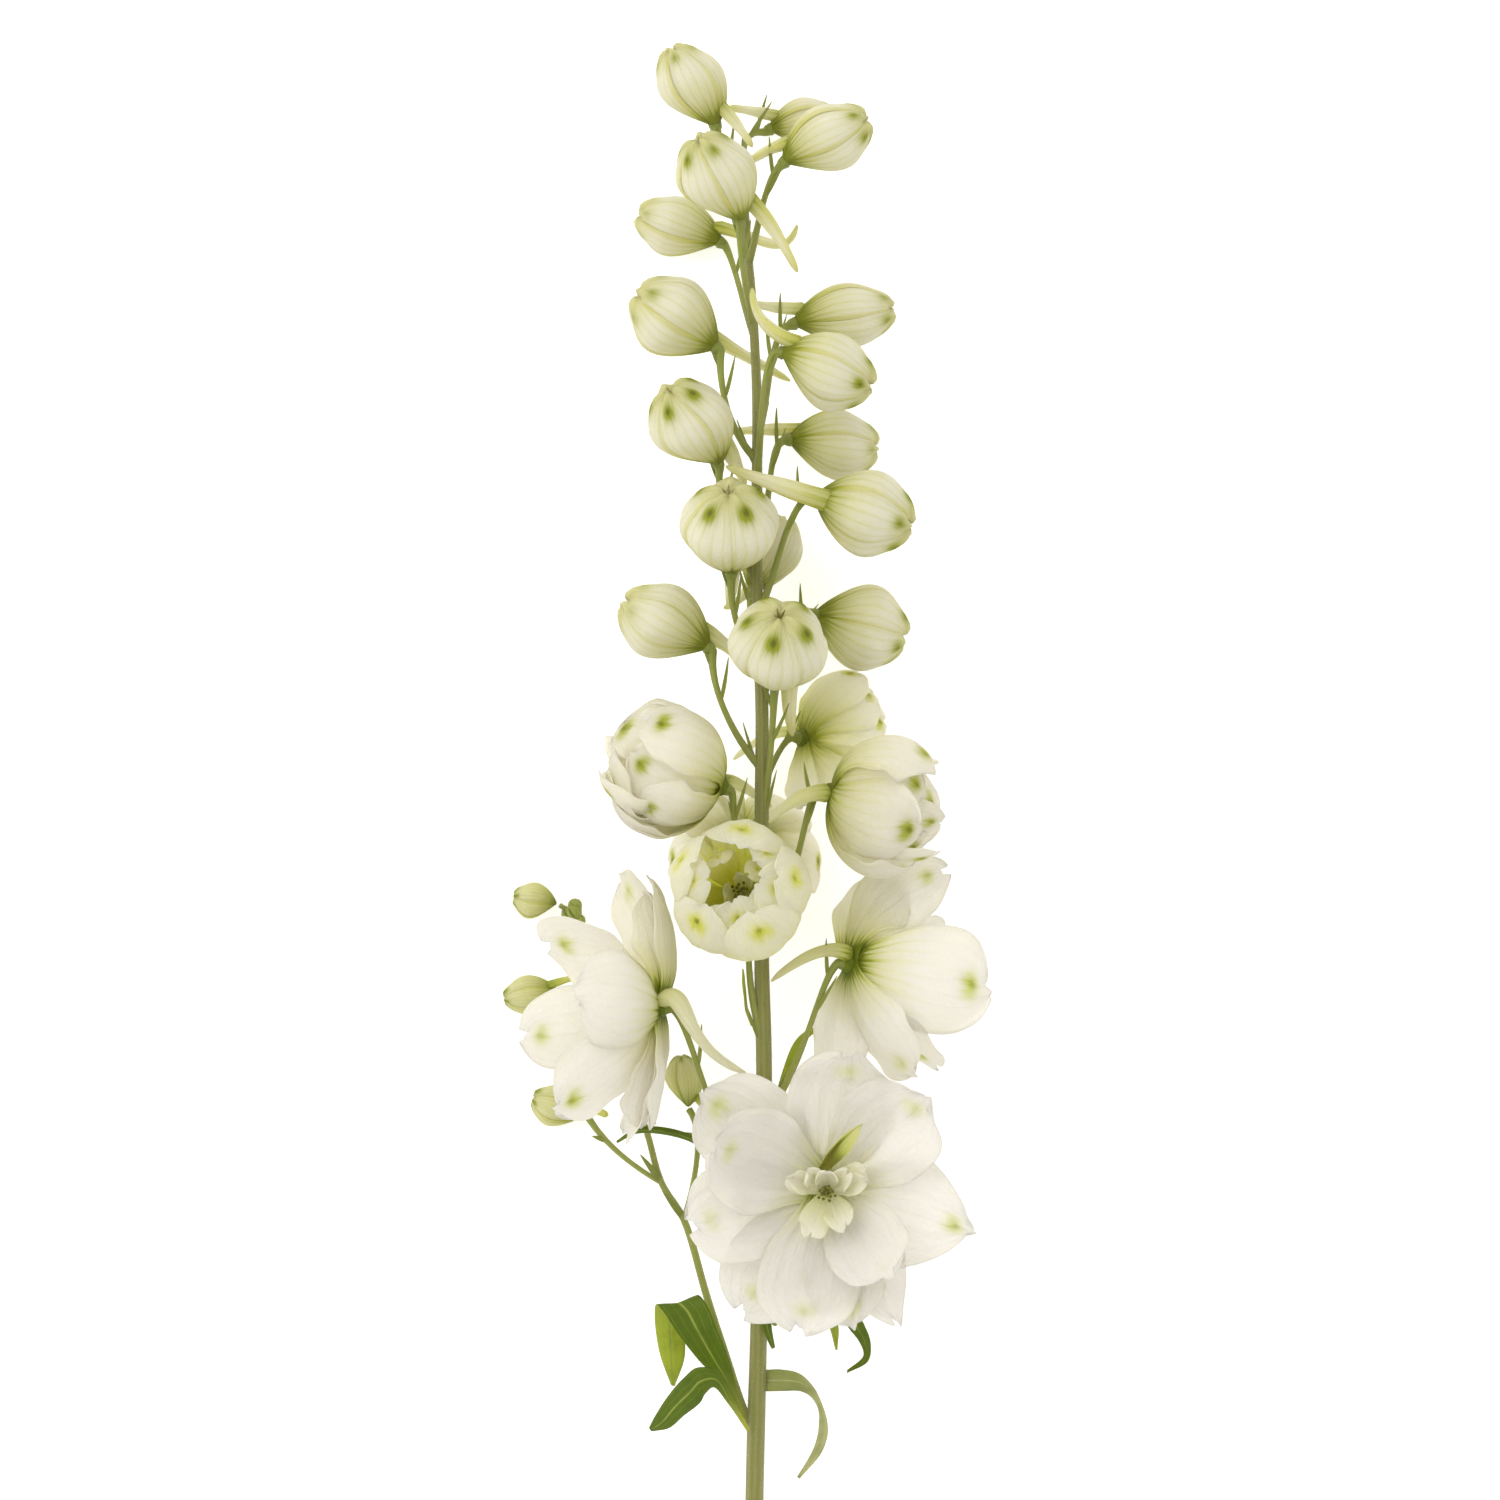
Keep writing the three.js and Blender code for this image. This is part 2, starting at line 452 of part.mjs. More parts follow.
// The dorsal side of a flower, where its spur sits: the side that the spur's bend lies on.
function dorsal(flower, facing) {
  const hint = flower.spur ? vec(flower.spur[0]).sub(vec(flower.base)) : new THREE.Vector3(0, 1, 0);
  return squareTo(hint, facing);
}

// ---------------------------------------------------------------- blades

// A closed blade from rows of points on its middle surface: both faces are split along the same
// diagonals, half the thickness to either side, and a rim joins them.
function bladeSolid(rows, thickness) {
  const across = rows[0].length;
  const at = (i, j) => rows[Math.min(rows.length - 1, Math.max(0, i))][Math.min(across - 1, Math.max(0, j))];
  const front = [];
  const back = [];
  rows.forEach((row, i) => row.forEach((p, j) => {
    const along = at(i + 1, j).clone().sub(at(i - 1, j));
    const over = at(i, j + 1).clone().sub(at(i, j - 1));
    const normal = along.cross(over).normalize().multiplyScalar(thickness / 2);
    front.push(p.clone().add(normal));
    back.push(p.clone().sub(normal));
  }));
  const count = front.length;
  const faces = [];
  for (let i = 0; i < rows.length - 1; i += 1) {
    for (let j = 0; j < across - 1; j += 1) {
      const a = i * across + j;
      const b = a + 1;
      const c = a + across;
      const d = c + 1;
      faces.push(a, c, b, b, c, d);
      faces.push(count + a, count + b, count + c, count + b, count + d, count + c);
    }
  }
  const rim = [];
  for (let j = 0; j < across; j += 1) rim.push(j);
  for (let i = 1; i < rows.length; i += 1) rim.push(i * across + across - 1);
  for (let j = across - 2; j >= 0; j -= 1) rim.push((rows.length - 1) * across + j);
  for (let i = rows.length - 2; i > 0; i -= 1) rim.push(i * across);
  rim.forEach((a, i) => {
    const b = rim[(i + 1) % rim.length];
    faces.push(a, b, count + a, b, count + b, count + a);
  });
  const blade = new THREE.BufferGeometry().setFromPoints([...front, ...back]);
  blade.setIndex(faces);
  return blade;
}

// Half a sepal's width at t along it, as a share of its greatest: a narrow claw that opens to the
// widest place, then rounds off to the tip.
function outline(t) {
  const open = Math.min(1, t / WIDEST);
  const rounded = Math.max(0, (t - WIDEST) / (1 - WIDEST));
  return (CLAW + (1 - CLAW) * open * open * (3 - 2 * open)) * Math.sqrt(1 - rounded ** TIP_ROUNDNESS);
}

// A sepal from its base to its tip. Its midline is a cubic curve that bulges away from the flower's
// axis, and across it bends to a circle of the cup radius, hollow side to the axis.
function sepal(base, facing, row, stations = SEPAL_ROWS) {
  const [x, y, z, width, bulge, cup, roll = 0] = row;
  const columns = width < WIDE_SEPAL ? SEPAL_COLUMNS.narrow : SEPAL_COLUMNS.wide;
  const reach = new THREE.Vector3(x, y, z);
  const length = reach.length();
  const chord = reach.clone().normalize();
  const outward = squareTo(chord, facing);
  const inward = facing.clone().multiplyScalar(chord.dot(outward))
    .addScaledVector(outward, -chord.dot(facing));
  const over = chord.clone().cross(inward);
  const place = BEND_PLACE - BEND_ROUNDING * bulge;
  const bendAt = (share) => base.clone().addScaledVector(reach, share)
    .addScaledVector(inward, (-4 / 3) * bulge * length);
  const end = base.clone().add(reach);
  const midline = new THREE.CubicBezierCurve3(base, bendAt(place), bendAt(1 - place), end);
  const rows = stations.map((t) => {
    const centre = midline.getPoint(t);
    const along = midline.getTangent(t);
    const across = over.clone().applyAxisAngle(along, roll * RAD * Math.min(1, 2 * t));
    const normal = across.clone().cross(along);
    const line = [];
    for (let j = 0; j <= columns; j += 1) {
      const s = (2 * j) / columns - 1;
      const turn = (s * outline(t) * width) / 2 / cup;
      line.push(centre.clone().addScaledVector(across, cup * Math.sin(turn))
        .addScaledVector(normal, cup * (1 - Math.cos(turn))));
    }
    return line;
  });
  return bladeSolid(rows, BLADE);
}

// A bloom: its sepals grow from a small round receptacle, with the spur behind the dorsal side.
function bloomGeometry(bloom) {
  const base = vec(bloom.base);
  const facing = direction(bloom.heading, bloom.rise);
  const knob = new THREE.SphereGeometry(KNOB_RADIUS, 6, 4).translate(base.x, base.y, base.z);
  const pieces = [knob, ...bloom.sepals.map((row) => sepal(base, facing, row))];
  const root = base.clone().addScaledVector(dorsal(bloom, facing), SPUR_SEAT * KNOB_RADIUS);
  pieces.push(spurShoot(root, bloom.spur, BLOOM_SPUR_ROOT));
  return fuse(pieces);
}

// The inner petals of a bloom and the boss of stamens in their middle.
function beeGeometry(bloom, rows) {
  const facing = direction(bloom.heading, bloom.rise);
  const foot = vec(bloom.base).addScaledVector(facing, BEE_LIFT);
  const up = dorsal(bloom, facing);
  const side = facing.clone().cross(up);
  const boss = new THREE.SphereGeometry(BEE_BOSS, 5, 4)
    .translate(foot.x, foot.y, foot.z)
    .translate(facing.x, facing.y, facing.z);
  const plain = PLAIN_BEE.angles.map((turn) => {
    const tip = facing.clone().multiplyScalar(PLAIN_BEE.rise)
      .addScaledVector(up, PLAIN_BEE.reach * Math.cos(turn * RAD))
      .addScaledVector(side, PLAIN_BEE.reach * Math.sin(turn * RAD));
    return [tip.x, tip.y, tip.z, PLAIN_BEE.width, 0.2, 5];
  });
  return fuse([boss, ...(rows ?? plain).map((row) => sepal(foot, facing, row, BEE_ROWS))]);
}

// ---------------------------------------------------------------- leaves

// A leaf or long bract from its stations. The midrib is sunk below the line between the edges.
function leafGeometry(leaf) {
  const curves = [0, 1].map((edge) => new THREE.CatmullRomCurve3(leaf.stations.map((s) => vec(s[edge]))));
  const steps = Math.round(LEAF_ROWS * (leaf.stations.length - 1));
  const rows = [];
  for (let i = 0; i <= steps; i += 1) {
    const [left, right] = curves.map((curve) => curve.getPoint(i / steps));
    const along = curves[0].getTangent(i / steps);
    const normal = right.clone().sub(left).cross(along).normalize();
    const depth = leaf.keel * Math.sin(Math.PI * (0.1 + (0.8 * i) / steps));
    rows.push([left, left.clone().lerp(right, 0.5).addScaledVector(normal, -depth), right]);
  }
  return bladeSolid(rows, LEAF_BLADE);
}

// ---------------------------------------------------------------- stem and side shoot

const HALVINGS = 30;
const stemCurve = new THREE.CatmullRomCurve3(STEM_LINE.map(vec));

// The point on the stem's centre line at a height up the spike.
function onStem(y) {
  let low = 0;
  let high = 1;
  for (let i = 0; i < HALVINGS; i += 1) {
    const t = (low + high) / 2;
    if (stemCurve.getPoint(t).y < y) {
      low = t;
    } else {
      high = t;
    }
  }
  return stemCurve.getPoint(low);
}

// A pedicel, with two bracteoles below the flower where that is open.
function pedicel(flower) {
  const base = vec(flower.base);
  const facing = direction(flower.heading, flower.rise);
  const up = dorsal(flower, facing);
  const open = Boolean(flower.sepals);
  const end = base.clone().addScaledVector(facing, open ? -CLEARANCE.bloom - KNOB_RADIUS : -CLEARANCE.bud)
    .addScaledVector(up, -PEDICEL_DROP);
  const [height, ...bends] = flower.foot;
  const foot = onStem(height);
  const reach = foot.distanceTo(end);
  const { leaving, back, below } = PEDICEL_BEND;
  const first = bends[0] ? vec(bends[0])
    : foot.clone().lerp(end, leaving).add(vec([0, leaving * reach, 0]));
  const second = bends[1] ? vec(bends[1])
    : end.clone().addScaledVector(facing, -back * reach).add(vec([0, -below * reach, 0]));
  const path = new THREE.CubicBezierCurve3(foot, first, second, end);
  const pieces = [shoot(path, pedicelRadius, PEDICEL_SIDES, PEDICEL_STEPS)];
  if (!open) {
    return pieces;
  }
  const near = path.getPoint(BRACTEOLE.place);
  const ahead = path.getTangent(BRACTEOLE.place);
  const aside = ahead.clone().cross(new THREE.Vector3(0, 0, 1)).normalize();
  [-1, 1].forEach((way) => {
    const tip = near.clone().addScaledVector(ahead, BRACTEOLE.ahead)
      .addScaledVector(aside, way * BRACTEOLE.aside);
    pieces.push(leaflet(near, tip, BRACTEOLE.width));
  });
  return pieces;
}

function stemGeometry() {
  const radius = (t) => STEM_RADIUS_FOOT + (STEM_RADIUS_TOP - STEM_RADIUS_FOOT) * t ** STEM_TAPER;
  const pieces = [shoot(stemCurve, radius, STEM_SIDES, STEM_STEPS)];
  [...BUDS, ...BLOOMS].forEach((flower) => pieces.push(...pedicel(flower)));
  pieces.push(...sideShoot());
  return fuse(pieces);
}

// The side shoot with its pedicels and the tight cluster of tiny buds at its end.
function sideShoot() {
  const line = new THREE.CatmullRomCurve3(SIDE_LINE.map(vec));
  const radius = (t) => SIDE_RADIUS.foot + (SIDE_RADIUS.tip - SIDE_RADIUS.foot) * t;
  const swelling = (t) => SIDE_RADIUS.pedicel + SIDE_RADIUS.swelling * t ** 3;
  const pieces = [shoot(line, radius, PEDICEL_SIDES, SIDE_STEPS)];
  SIDE_PEDICELS.forEach(({ path, leaves }) => {
    const curve = new THREE.CubicBezierCurve3(...path.map(vec));
    pieces.push(shoot(curve, swelling, PEDICEL_SIDES, PEDICEL_STEPS));
    if (leaves) {
      const near = curve.getPoint(SIDE_LEAF_PLACE);
      const root = curve.getPoint(0);
      pieces.push(leaflet(near, near.clone().add(vec(SIDE_LEAF)), BRACTEOLE.width));
      pieces.push(leaflet(root, root.clone().add(vec(SIDE_BRACT)), BRACTEOLE.width));
    }
  });
  TINY_BUDS.forEach(([x, y, z, r]) => {
    pieces.push(new THREE.SphereGeometry(r, 5, 4).translate(x, y, z));
  });
  return pieces;
}

// ---------------------------------------------------------------- the spike

const spike = new THREE.Group();
spike.name = "delphinium_spike";

function add(name, geometry, colour, roughness) {
  const material = new THREE.MeshStandardMaterial({ color: colour, roughness, metalness: 0 });
  const mesh = new THREE.Mesh(geometry, material);
  mesh.name = name;
  spike.add(mesh);
}

const number = (i) => String(i + 1).padStart(2, "0");

add("flowering_stem", stemGeometry(), COLOUR.stem, 0.6);
Object.entries(LEAVES).forEach(([name, leaf]) => {
  add(name, leafGeometry(leaf), leaf.pale ? COLOUR.paleLeaf : COLOUR.leaf, 0.5);
});
BUDS.forEach((bud, i) => add(`bud_${number(i)}`, budGeometry(bud), COLOUR.bud, 0.55));
BLOOMS.forEach((bloom, i) => {
  const open = i === BLOOMS.length - 1;
  add(`bloom_${i + 1}`, bloomGeometry(bloom), COLOUR.sepal, 0.55);
  add(`bee_${i + 1}`, beeGeometry(bloom, open ? OPEN_BEE : null), COLOUR.bee, 0.55);
});
SIDE_BUDS.forEach((bud, i) => add(`side_bud_${i + 1}`, budGeometry(bud), COLOUR.sideBud, 0.55));

spike.position.set(-SPIKE_CENTRE.x, -SPIKE_CENTRE.y, 0);

export default spike;
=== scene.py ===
# %% [markdown]
# # A cut delphinium spike on a light table
#
# The part is one flower spike: a green stem with sixteen closed, spurred buds near the top,
# eight white semi-double blooms below them, a side shoot with small buds, and narrow leaves at the
# foot. It lies on its back on a bright table, and the camera looks straight down at it.
#
# The packed solids come in first. They fix where everything is. Each of them is then stood in for
# by a finer piece that keeps its place and form, because thin petals, veins and hairs are too fine
# for a solid that has to be printed or simulated.

import bpy
import numpy as np
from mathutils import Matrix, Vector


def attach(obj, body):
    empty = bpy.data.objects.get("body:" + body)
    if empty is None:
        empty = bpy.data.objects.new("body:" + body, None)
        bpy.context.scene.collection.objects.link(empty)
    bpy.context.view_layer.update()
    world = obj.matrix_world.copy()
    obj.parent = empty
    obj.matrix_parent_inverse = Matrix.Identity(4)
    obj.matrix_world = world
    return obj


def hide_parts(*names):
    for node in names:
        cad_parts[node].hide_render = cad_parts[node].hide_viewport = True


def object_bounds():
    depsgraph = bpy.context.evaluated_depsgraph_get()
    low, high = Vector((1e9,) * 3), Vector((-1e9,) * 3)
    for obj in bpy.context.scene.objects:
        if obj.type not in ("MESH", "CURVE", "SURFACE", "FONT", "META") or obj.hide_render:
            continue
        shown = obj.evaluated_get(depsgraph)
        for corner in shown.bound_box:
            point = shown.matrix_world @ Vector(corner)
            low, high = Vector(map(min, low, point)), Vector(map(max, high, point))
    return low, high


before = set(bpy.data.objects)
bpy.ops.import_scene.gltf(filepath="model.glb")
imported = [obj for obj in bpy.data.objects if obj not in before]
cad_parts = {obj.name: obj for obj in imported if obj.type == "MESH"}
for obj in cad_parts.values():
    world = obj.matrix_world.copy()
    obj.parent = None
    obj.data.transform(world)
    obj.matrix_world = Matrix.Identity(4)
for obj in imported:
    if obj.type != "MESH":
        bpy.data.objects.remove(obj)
solid_low, solid_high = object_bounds()
box_mm = np.round(1000 * np.array([solid_low, solid_high]), 1).tolist()
print("solids:", len(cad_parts), "box in mm:", box_mm)

# %% [markdown]
# ## Lengths and the table's own frame
#
# The lists of this lesson are in millimetres on the table, as a gardener would measure them.
# The scene is in metres, with its origin under the middle of the spike. One function goes from the
# one to the other, so no other cell has to think about it.

# %% From millimetres on the table to metres in the scene
MM = 0.001
SPIKE_CENTRE = np.array([-2.15, -24.75, 0.0])
TABLE_CLEARANCE = 0.02  # millimetres that the lowest points keep above the table


def to_scene(points):
    """Millimetre points less the spike's middle, no lower than the clearance, in metres."""
    moved = np.asarray(points, float) - SPIKE_CENTRE
    moved[..., 2] = np.maximum(moved[..., 2], TABLE_CLEARANCE)
    return moved * MM


def unit(v):
    """Vectors divided by their own length."""
    v = np.asarray(v, float)
    return v / np.maximum(np.linalg.norm(v, axis=-1, keepdims=True), 1e-9)


def square_to(v, axis):
    """The part of v at right angles to the unit vector axis, made a unit vector."""
    v = np.asarray(v, float)
    return unit(v - (v @ axis) * axis)


def direction(heading, rise):
    """The unit vector that points along a heading on the table, lifted by a rise, both in degrees."""
    h, r = np.radians([heading, rise])
    return np.array([np.cos(r) * np.cos(h), np.cos(r) * np.sin(h), np.sin(r)])


print("the point 30 mm above the lists' origin, in m:", to_scene([0, 0, 30]).round(4).tolist())

# %% [markdown]
# ## Sheets of points
#
# Nearly every part of a flower is a sheet: a petal, a leaf, the skin of a stem. A sheet here is a
# grid of points, rows along it and columns across it, with a little map (u across, v along) that
# the materials read. A blade is two such sheets back to back with a rim, so it is a closed body
# that light can shine through. A tube is a sheet rolled up, with its ends closed.

# %% Faces of a grid, and a patch of them
def grid_quads(rows, columns, rolled=False):
    """Four-cornered faces of a grid whose point (i, j) is number i * columns + j, turned so that they
    face along x across. A rolled grid has one more column of faces, back to column 0."""
    i, j = np.meshgrid(np.arange(rows - 1), np.arange(columns if rolled else columns - 1), indexing="ij")
    after = (j + 1) % columns
    corners = [i * columns + j, (i + 1) * columns + j, (i + 1) * columns + after, i * columns + after]
    return np.stack(corners, axis=-1).reshape(-1, 4)


def patch(points, quads, quad_map, mark, triangles=None, triangle_map=None):
    """One part of a piece: its points, its faces, the map (u, v) at each corner of each face, and the
    mark, two numbers for each point that tell the material what kind of tissue is there."""
    marks = np.broadcast_to(np.asarray(mark, float), (len(points), 2))
    none = np.zeros((0, 3), int)
    return {
        "points": points, "quads": quads, "quad_map": quad_map, "mark": marks,
        "triangles": none if triangles is None else triangles,
        "triangle_map": np.zeros((0, 3, 2)) if triangle_map is None else triangle_map,
    }


print("faces of 3 x 4 points, flat and rolled up:", len(grid_quads(3, 4)), len(grid_quads(3, 4, True)))

# %% A blade, closed all round
RIM_SHARE = 0.35  # how thick a blade still is at its rim, as a share of its thickness


def blade(middle, thickness, mark, under=None):
    """Both faces are the middle sheet moved by n * thickness / 2 to either side, where n is along x
    across, made a unit vector. The thickness falls to its rim share at the two sides and the tip.
    The rim joins the outlines of both faces. under is the mark of the second face."""
    rows, columns = middle.shape[:2]
    normal = unit(np.cross(np.gradient(middle, axis=0), np.gradient(middle, axis=1)))
    s = np.linspace(-1, 1, columns)[None, :]
    t = np.linspace(0, 1, rows)[:, None]
    fall = np.maximum(np.abs(s) ** 6, t ** 12) * np.ones((rows, columns))
    half = (thickness / 2 * (1 - (1 - RIM_SHARE) * fall))[..., None]
    front = (middle + normal * half).reshape(-1, 3)
    back = (middle - normal * half).reshape(-1, 3)
    count = rows * columns
    number = np.arange(count).reshape(rows, columns)
    rim = np.concatenate([number[0, :], number[1:, -1], number[-1, -2::-1], number[-2:0:-1, 0]])
    after = np.roll(rim, -1)
    faces = grid_quads(rows, columns)
    quads = np.concatenate([
        faces, faces[:, ::-1] + count, np.stack([rim, after, after + count, rim + count], axis=-1),
    ])
    u, v = np.meshgrid(np.linspace(0, 1, columns), np.linspace(0, 1, rows))
    chart = np.tile(np.stack([u, v], axis=-1).reshape(-1, 2), (2, 1))
    marks = np.concatenate([
        np.broadcast_to(np.asarray(mark, float), (count, 2)),
        np.broadcast_to(np.asarray(mark if under is None else under, float), (count, 2)),
    ])
    return patch(np.concatenate([front, back]), quads, chart[quads], marks)


flat = np.stack([*np.meshgrid(np.arange(4.0), np.arange(3.0)), np.zeros((3, 4))], axis=-1)
print("faces of a blade of 3 x 4 points:", len(blade(flat, 0.3, (0, 0))["quads"]))


# %% Directions square to a path
def cross_frames(path):
    """Two unit vectors square to the path at each of its points. The path's tangents least point along
    one direction of space, the last singular vector; it is made square to each tangent, and the other
    vector is the tangent x that one."""
    tangent = unit(np.gradient(path, axis=0))
    flat = np.linalg.svd(tangent, full_matrices=False)[2][-1]
    first = unit(flat - (tangent @ flat)[:, None] * tangent)
    return first, np.cross(tangent, first), tangent


rod = np.linspace((0, 0, 0), (0, 8, 6), 5)
print("a straight rod's tangent:", cross_frames(rod)[2][0].round(2).tolist())

# %% A tube along a path, closed at both ends
END_CAP = 0.3  # how far an end bulges, as a share of its radius


def tube(path, radius, mark, sides=12, flatten=1.0, lobes=0.0, ribs=5):
    """Point (i, j) is path_i + r (a cos w + flatten b sin w), where w = 2 pi j / sides, a and b are the
    frame's vectors and r = radius_i (1 + lobes cos(ribs w)). Both ends close in a fan of triangles."""
    path = np.asarray(path, float)
    rows = len(path)
    radius = np.broadcast_to(np.asarray(radius, float), (rows,))
    a, b, tangent = cross_frames(path)
    w = 2 * np.pi * np.arange(sides) / sides
    r = radius[:, None] * (1 + lobes * np.cos(ribs * w))[None, :]
    ring = a[:, None] * np.cos(w)[None, :, None] + flatten * b[:, None] * np.sin(w)[None, :, None]
    skin = (path[:, None] + r[..., None] * ring).reshape(-1, 3)
    cap = END_CAP * radius[[0, -1], None] * tangent[[0, -1]]
    ends = np.stack([path[0] - cap[0], path[-1] + cap[1]])
    quads = grid_quads(rows, sides, rolled=True)[:, ::-1]
    i, j = np.meshgrid(np.arange(rows - 1), np.arange(sides), indexing="ij")
    corner = [(j, i), (j, i + 1), (j + 1, i + 1), (j + 1, i)]
    chart = np.stack([np.stack([c / sides, r_ / (rows - 1)], axis=-1) for c, r_ in corner], axis=2)
    chart = chart.reshape(-1, 4, 2)[:, ::-1]
    j = np.arange(sides)
    after, last, foot = (j + 1) % sides, (rows - 1) * sides, rows * sides
    fans = np.concatenate([
        np.stack([0 * j + foot, after, j], axis=-1),
        np.stack([0 * j + foot + 1, last + j, last + after], axis=-1),
    ])
    u, next_u = j / sides, j / sides + 1 / sides
    fan_u = np.concatenate([np.stack([u, next_u, u], axis=-1), np.stack([u, u, next_u], axis=-1)])
    fan_v = np.repeat([[0.0], [1.0]], sides, axis=0) + 0 * fan_u
    points = np.concatenate([skin, ends])
    marks = np.asarray(mark, float)
    if marks.ndim == 2:
        marks = np.concatenate([np.repeat(marks, sides, axis=0), marks[:1], marks[-1:]])
    return patch(points, quads, chart, marks, fans, np.stack([fan_u, fan_v], axis=-1))


rod_skin = tube(rod, 1.0, (0, 0))
print("faces of a tube of 5 rings:", len(rod_skin["quads"]), "and", len(rod_skin["triangles"]), "in its ends")


# %% Patches become one object
def make_piece(name, patches, finish, node):
    """Stacks the patches into one mesh, gives it the maps 'tissue' (u across, v along) and 'mark', and
    lets the piece stand in for its solid."""
    counts = np.cumsum([0] + [len(p["points"]) for p in patches])
    points = to_scene(np.concatenate([p["points"] for p in patches]))
    quads = np.concatenate([p["quads"] + n for p, n in zip(patches, counts)])
    triangles = np.concatenate([p["triangles"] + n for p, n in zip(patches, counts)])
    marks = np.concatenate([p["mark"] for p in patches])
    corners = np.concatenate([quads.ravel(), triangles.ravel()]).astype(np.int32)
    chart = np.concatenate([
        np.concatenate([p["quad_map"] for p in patches]).reshape(-1, 2),
        np.concatenate([p["triangle_map"] for p in patches]).reshape(-1, 2),
    ])
    mesh = bpy.data.meshes.new(name)
    mesh.vertices.add(len(points))
    mesh.vertices.foreach_set("co", points.ravel())
    mesh.loops.add(len(corners))
    mesh.loops.foreach_set("vertex_index", corners)
    starts = np.concatenate([np.arange(len(quads)) * 4, len(quads) * 4 + np.arange(len(triangles)) * 3])
    mesh.polygons.add(len(starts))
    mesh.polygons.foreach_set("loop_start", starts.astype(np.int32))
    mesh.polygons.foreach_set("use_smooth", np.ones(len(starts), bool))
    for title, values in (("tissue", chart), ("mark", marks[corners])):
        layer = mesh.uv_layers.new(name=title)
        layer.uv.foreach_set("vector", values.astype(np.float32).ravel())
    mesh.update(calc_edges=True)
    mesh.validate()
    mesh.materials.append(finish)
    piece = bpy.data.objects.new(name, mesh)
    bpy.context.scene.collection.objects.link(piece)
    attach(piece, "root")
    if node:
        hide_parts(node)
    return piece


# %% [markdown]
# ## Curves
#
# Stems, pedicels and the midlines of petals follow smooth curves. Short ones are Bezier curves, which
# need only their ends and one or two bends. Long ones run through every point of a list, as a
# centripetal Catmull-Rom curve, which doesn't overshoot where the points lie at uneven distances.

# %% Bezier and Catmull-Rom curves
def bezier(ends, count):
    """Points at t = 0..1 on the Bezier curve of 3 or 4 control points, as sums of Bernstein terms."""
    ends = np.asarray(ends, float)
    t = np.linspace(0, 1, count)[:, None]
    if len(ends) == 3:
        return (1 - t) ** 2 * ends[0] + 2 * t * (1 - t) * ends[1] + t * t * ends[2]
    return ((1 - t) ** 3 * ends[0] + 3 * t * (1 - t) ** 2 * ends[1]
            + 3 * t * t * (1 - t) * ends[2] + t ** 3 * ends[3])


def through(points, count):
    """A smooth curve through the points. Between points 1 and 2 it is the cubic whose slopes come from
    their neighbours, with knots spaced by the square roots of the distances."""
    p = np.asarray(points, float)
    p = np.concatenate([[2 * p[0] - p[1]], p, [2 * p[-1] - p[-2]]])
    place = np.linspace(0, len(p) - 3, count)
    k = np.minimum(place.astype(int), len(p) - 4)
    t = (place - k)[:, None]
    p0, p1, p2, p3 = p[k], p[k + 1], p[k + 2], p[k + 3]
    d0, d1, d2 = (np.sqrt(np.maximum(np.linalg.norm(b - a, axis=1), 1e-6))[:, None]
                  for a, b in ((p0, p1), (p1, p2), (p2, p3)))
    m1 = d1 * ((p1 - p0) / d0 - (p2 - p0) / (d0 + d1) + (p2 - p1) / d1)
    m2 = d1 * ((p2 - p1) / d1 - (p3 - p1) / (d1 + d2) + (p3 - p2) / d2)
    return (p1 + m1 * t + (-3 * p1 + 3 * p2 - 2 * m1 - m2) * t * t
            + (2 * p1 - 2 * p2 + m1 + m2) * t ** 3)


def run(path):
    """The length of a path: the distances from point to point, summed."""
    return float(np.linalg.norm(np.diff(path, axis=0), axis=1).sum())


CORNER = [(0, 0, 0), (0, 10, 0), (10, 10, 0)]
print("length of a corner's two curves:", [round(run(curve(CORNER, 50)), 1) for curve in (bezier, through)])

# %% [markdown]
# ## Shader maths as sums
#
# A material is a tree of small nodes. Wiring them by hand hides what they work out, so one class
# wraps an output of a node and lets it be added and multiplied like a number. Every other node comes
# from a single method, which takes the node's type, its settings and what goes into its sockets.

# %% A wire that can be used in sums
class Wire:
    """The output of a node, as a number in an expression. Each sum adds one Math node."""

    def __init__(self, finish, socket):
        self.finish, self.socket = finish, socket

    def maths(self, operation, *others):
        values = dict(enumerate((self, *others)))
        return self.finish.node("Math", {"operation": operation}, values)

    def __add__(self, other):
        return self.maths("ADD", other)

    def __sub__(self, other):
        return self.maths("SUBTRACT", other)

    def __rsub__(self, other):
        return (self * -1) + other

    def __mul__(self, other):
        return self.maths("MULTIPLY", other)

    __radd__, __rmul__ = __add__, __mul__

    def absolute(self):
        return self.maths("ABSOLUTE")

    def capped(self):
        """The number, or 1 where it is more."""
        return self.maths("MINIMUM", 1.0)

    def zigzag(self):
        """Up from 0 to 1 and back to 0, once for each whole number."""
        return self.maths("PINGPONG", 0.5) * 2.0

    def bell(self, centre, width):
        """exp(-((x - centre) / width)^2), a bump of height 1."""
        offset = (self - centre) * (1 / width)
        return (offset * offset * -1).maths("EXPONENT")

    def ramp(self, low, high):
        """A smooth step from 0 at low to 1 at high; low may be the greater."""
        settings = {"interpolation_type": "SMOOTHSTEP"}
        return self.finish.node("MapRange", settings, {"Value": self, "From Min": low, "From Max": high})


print("a wire knows:", [name for name in vars(Wire) if not name.startswith("__")])


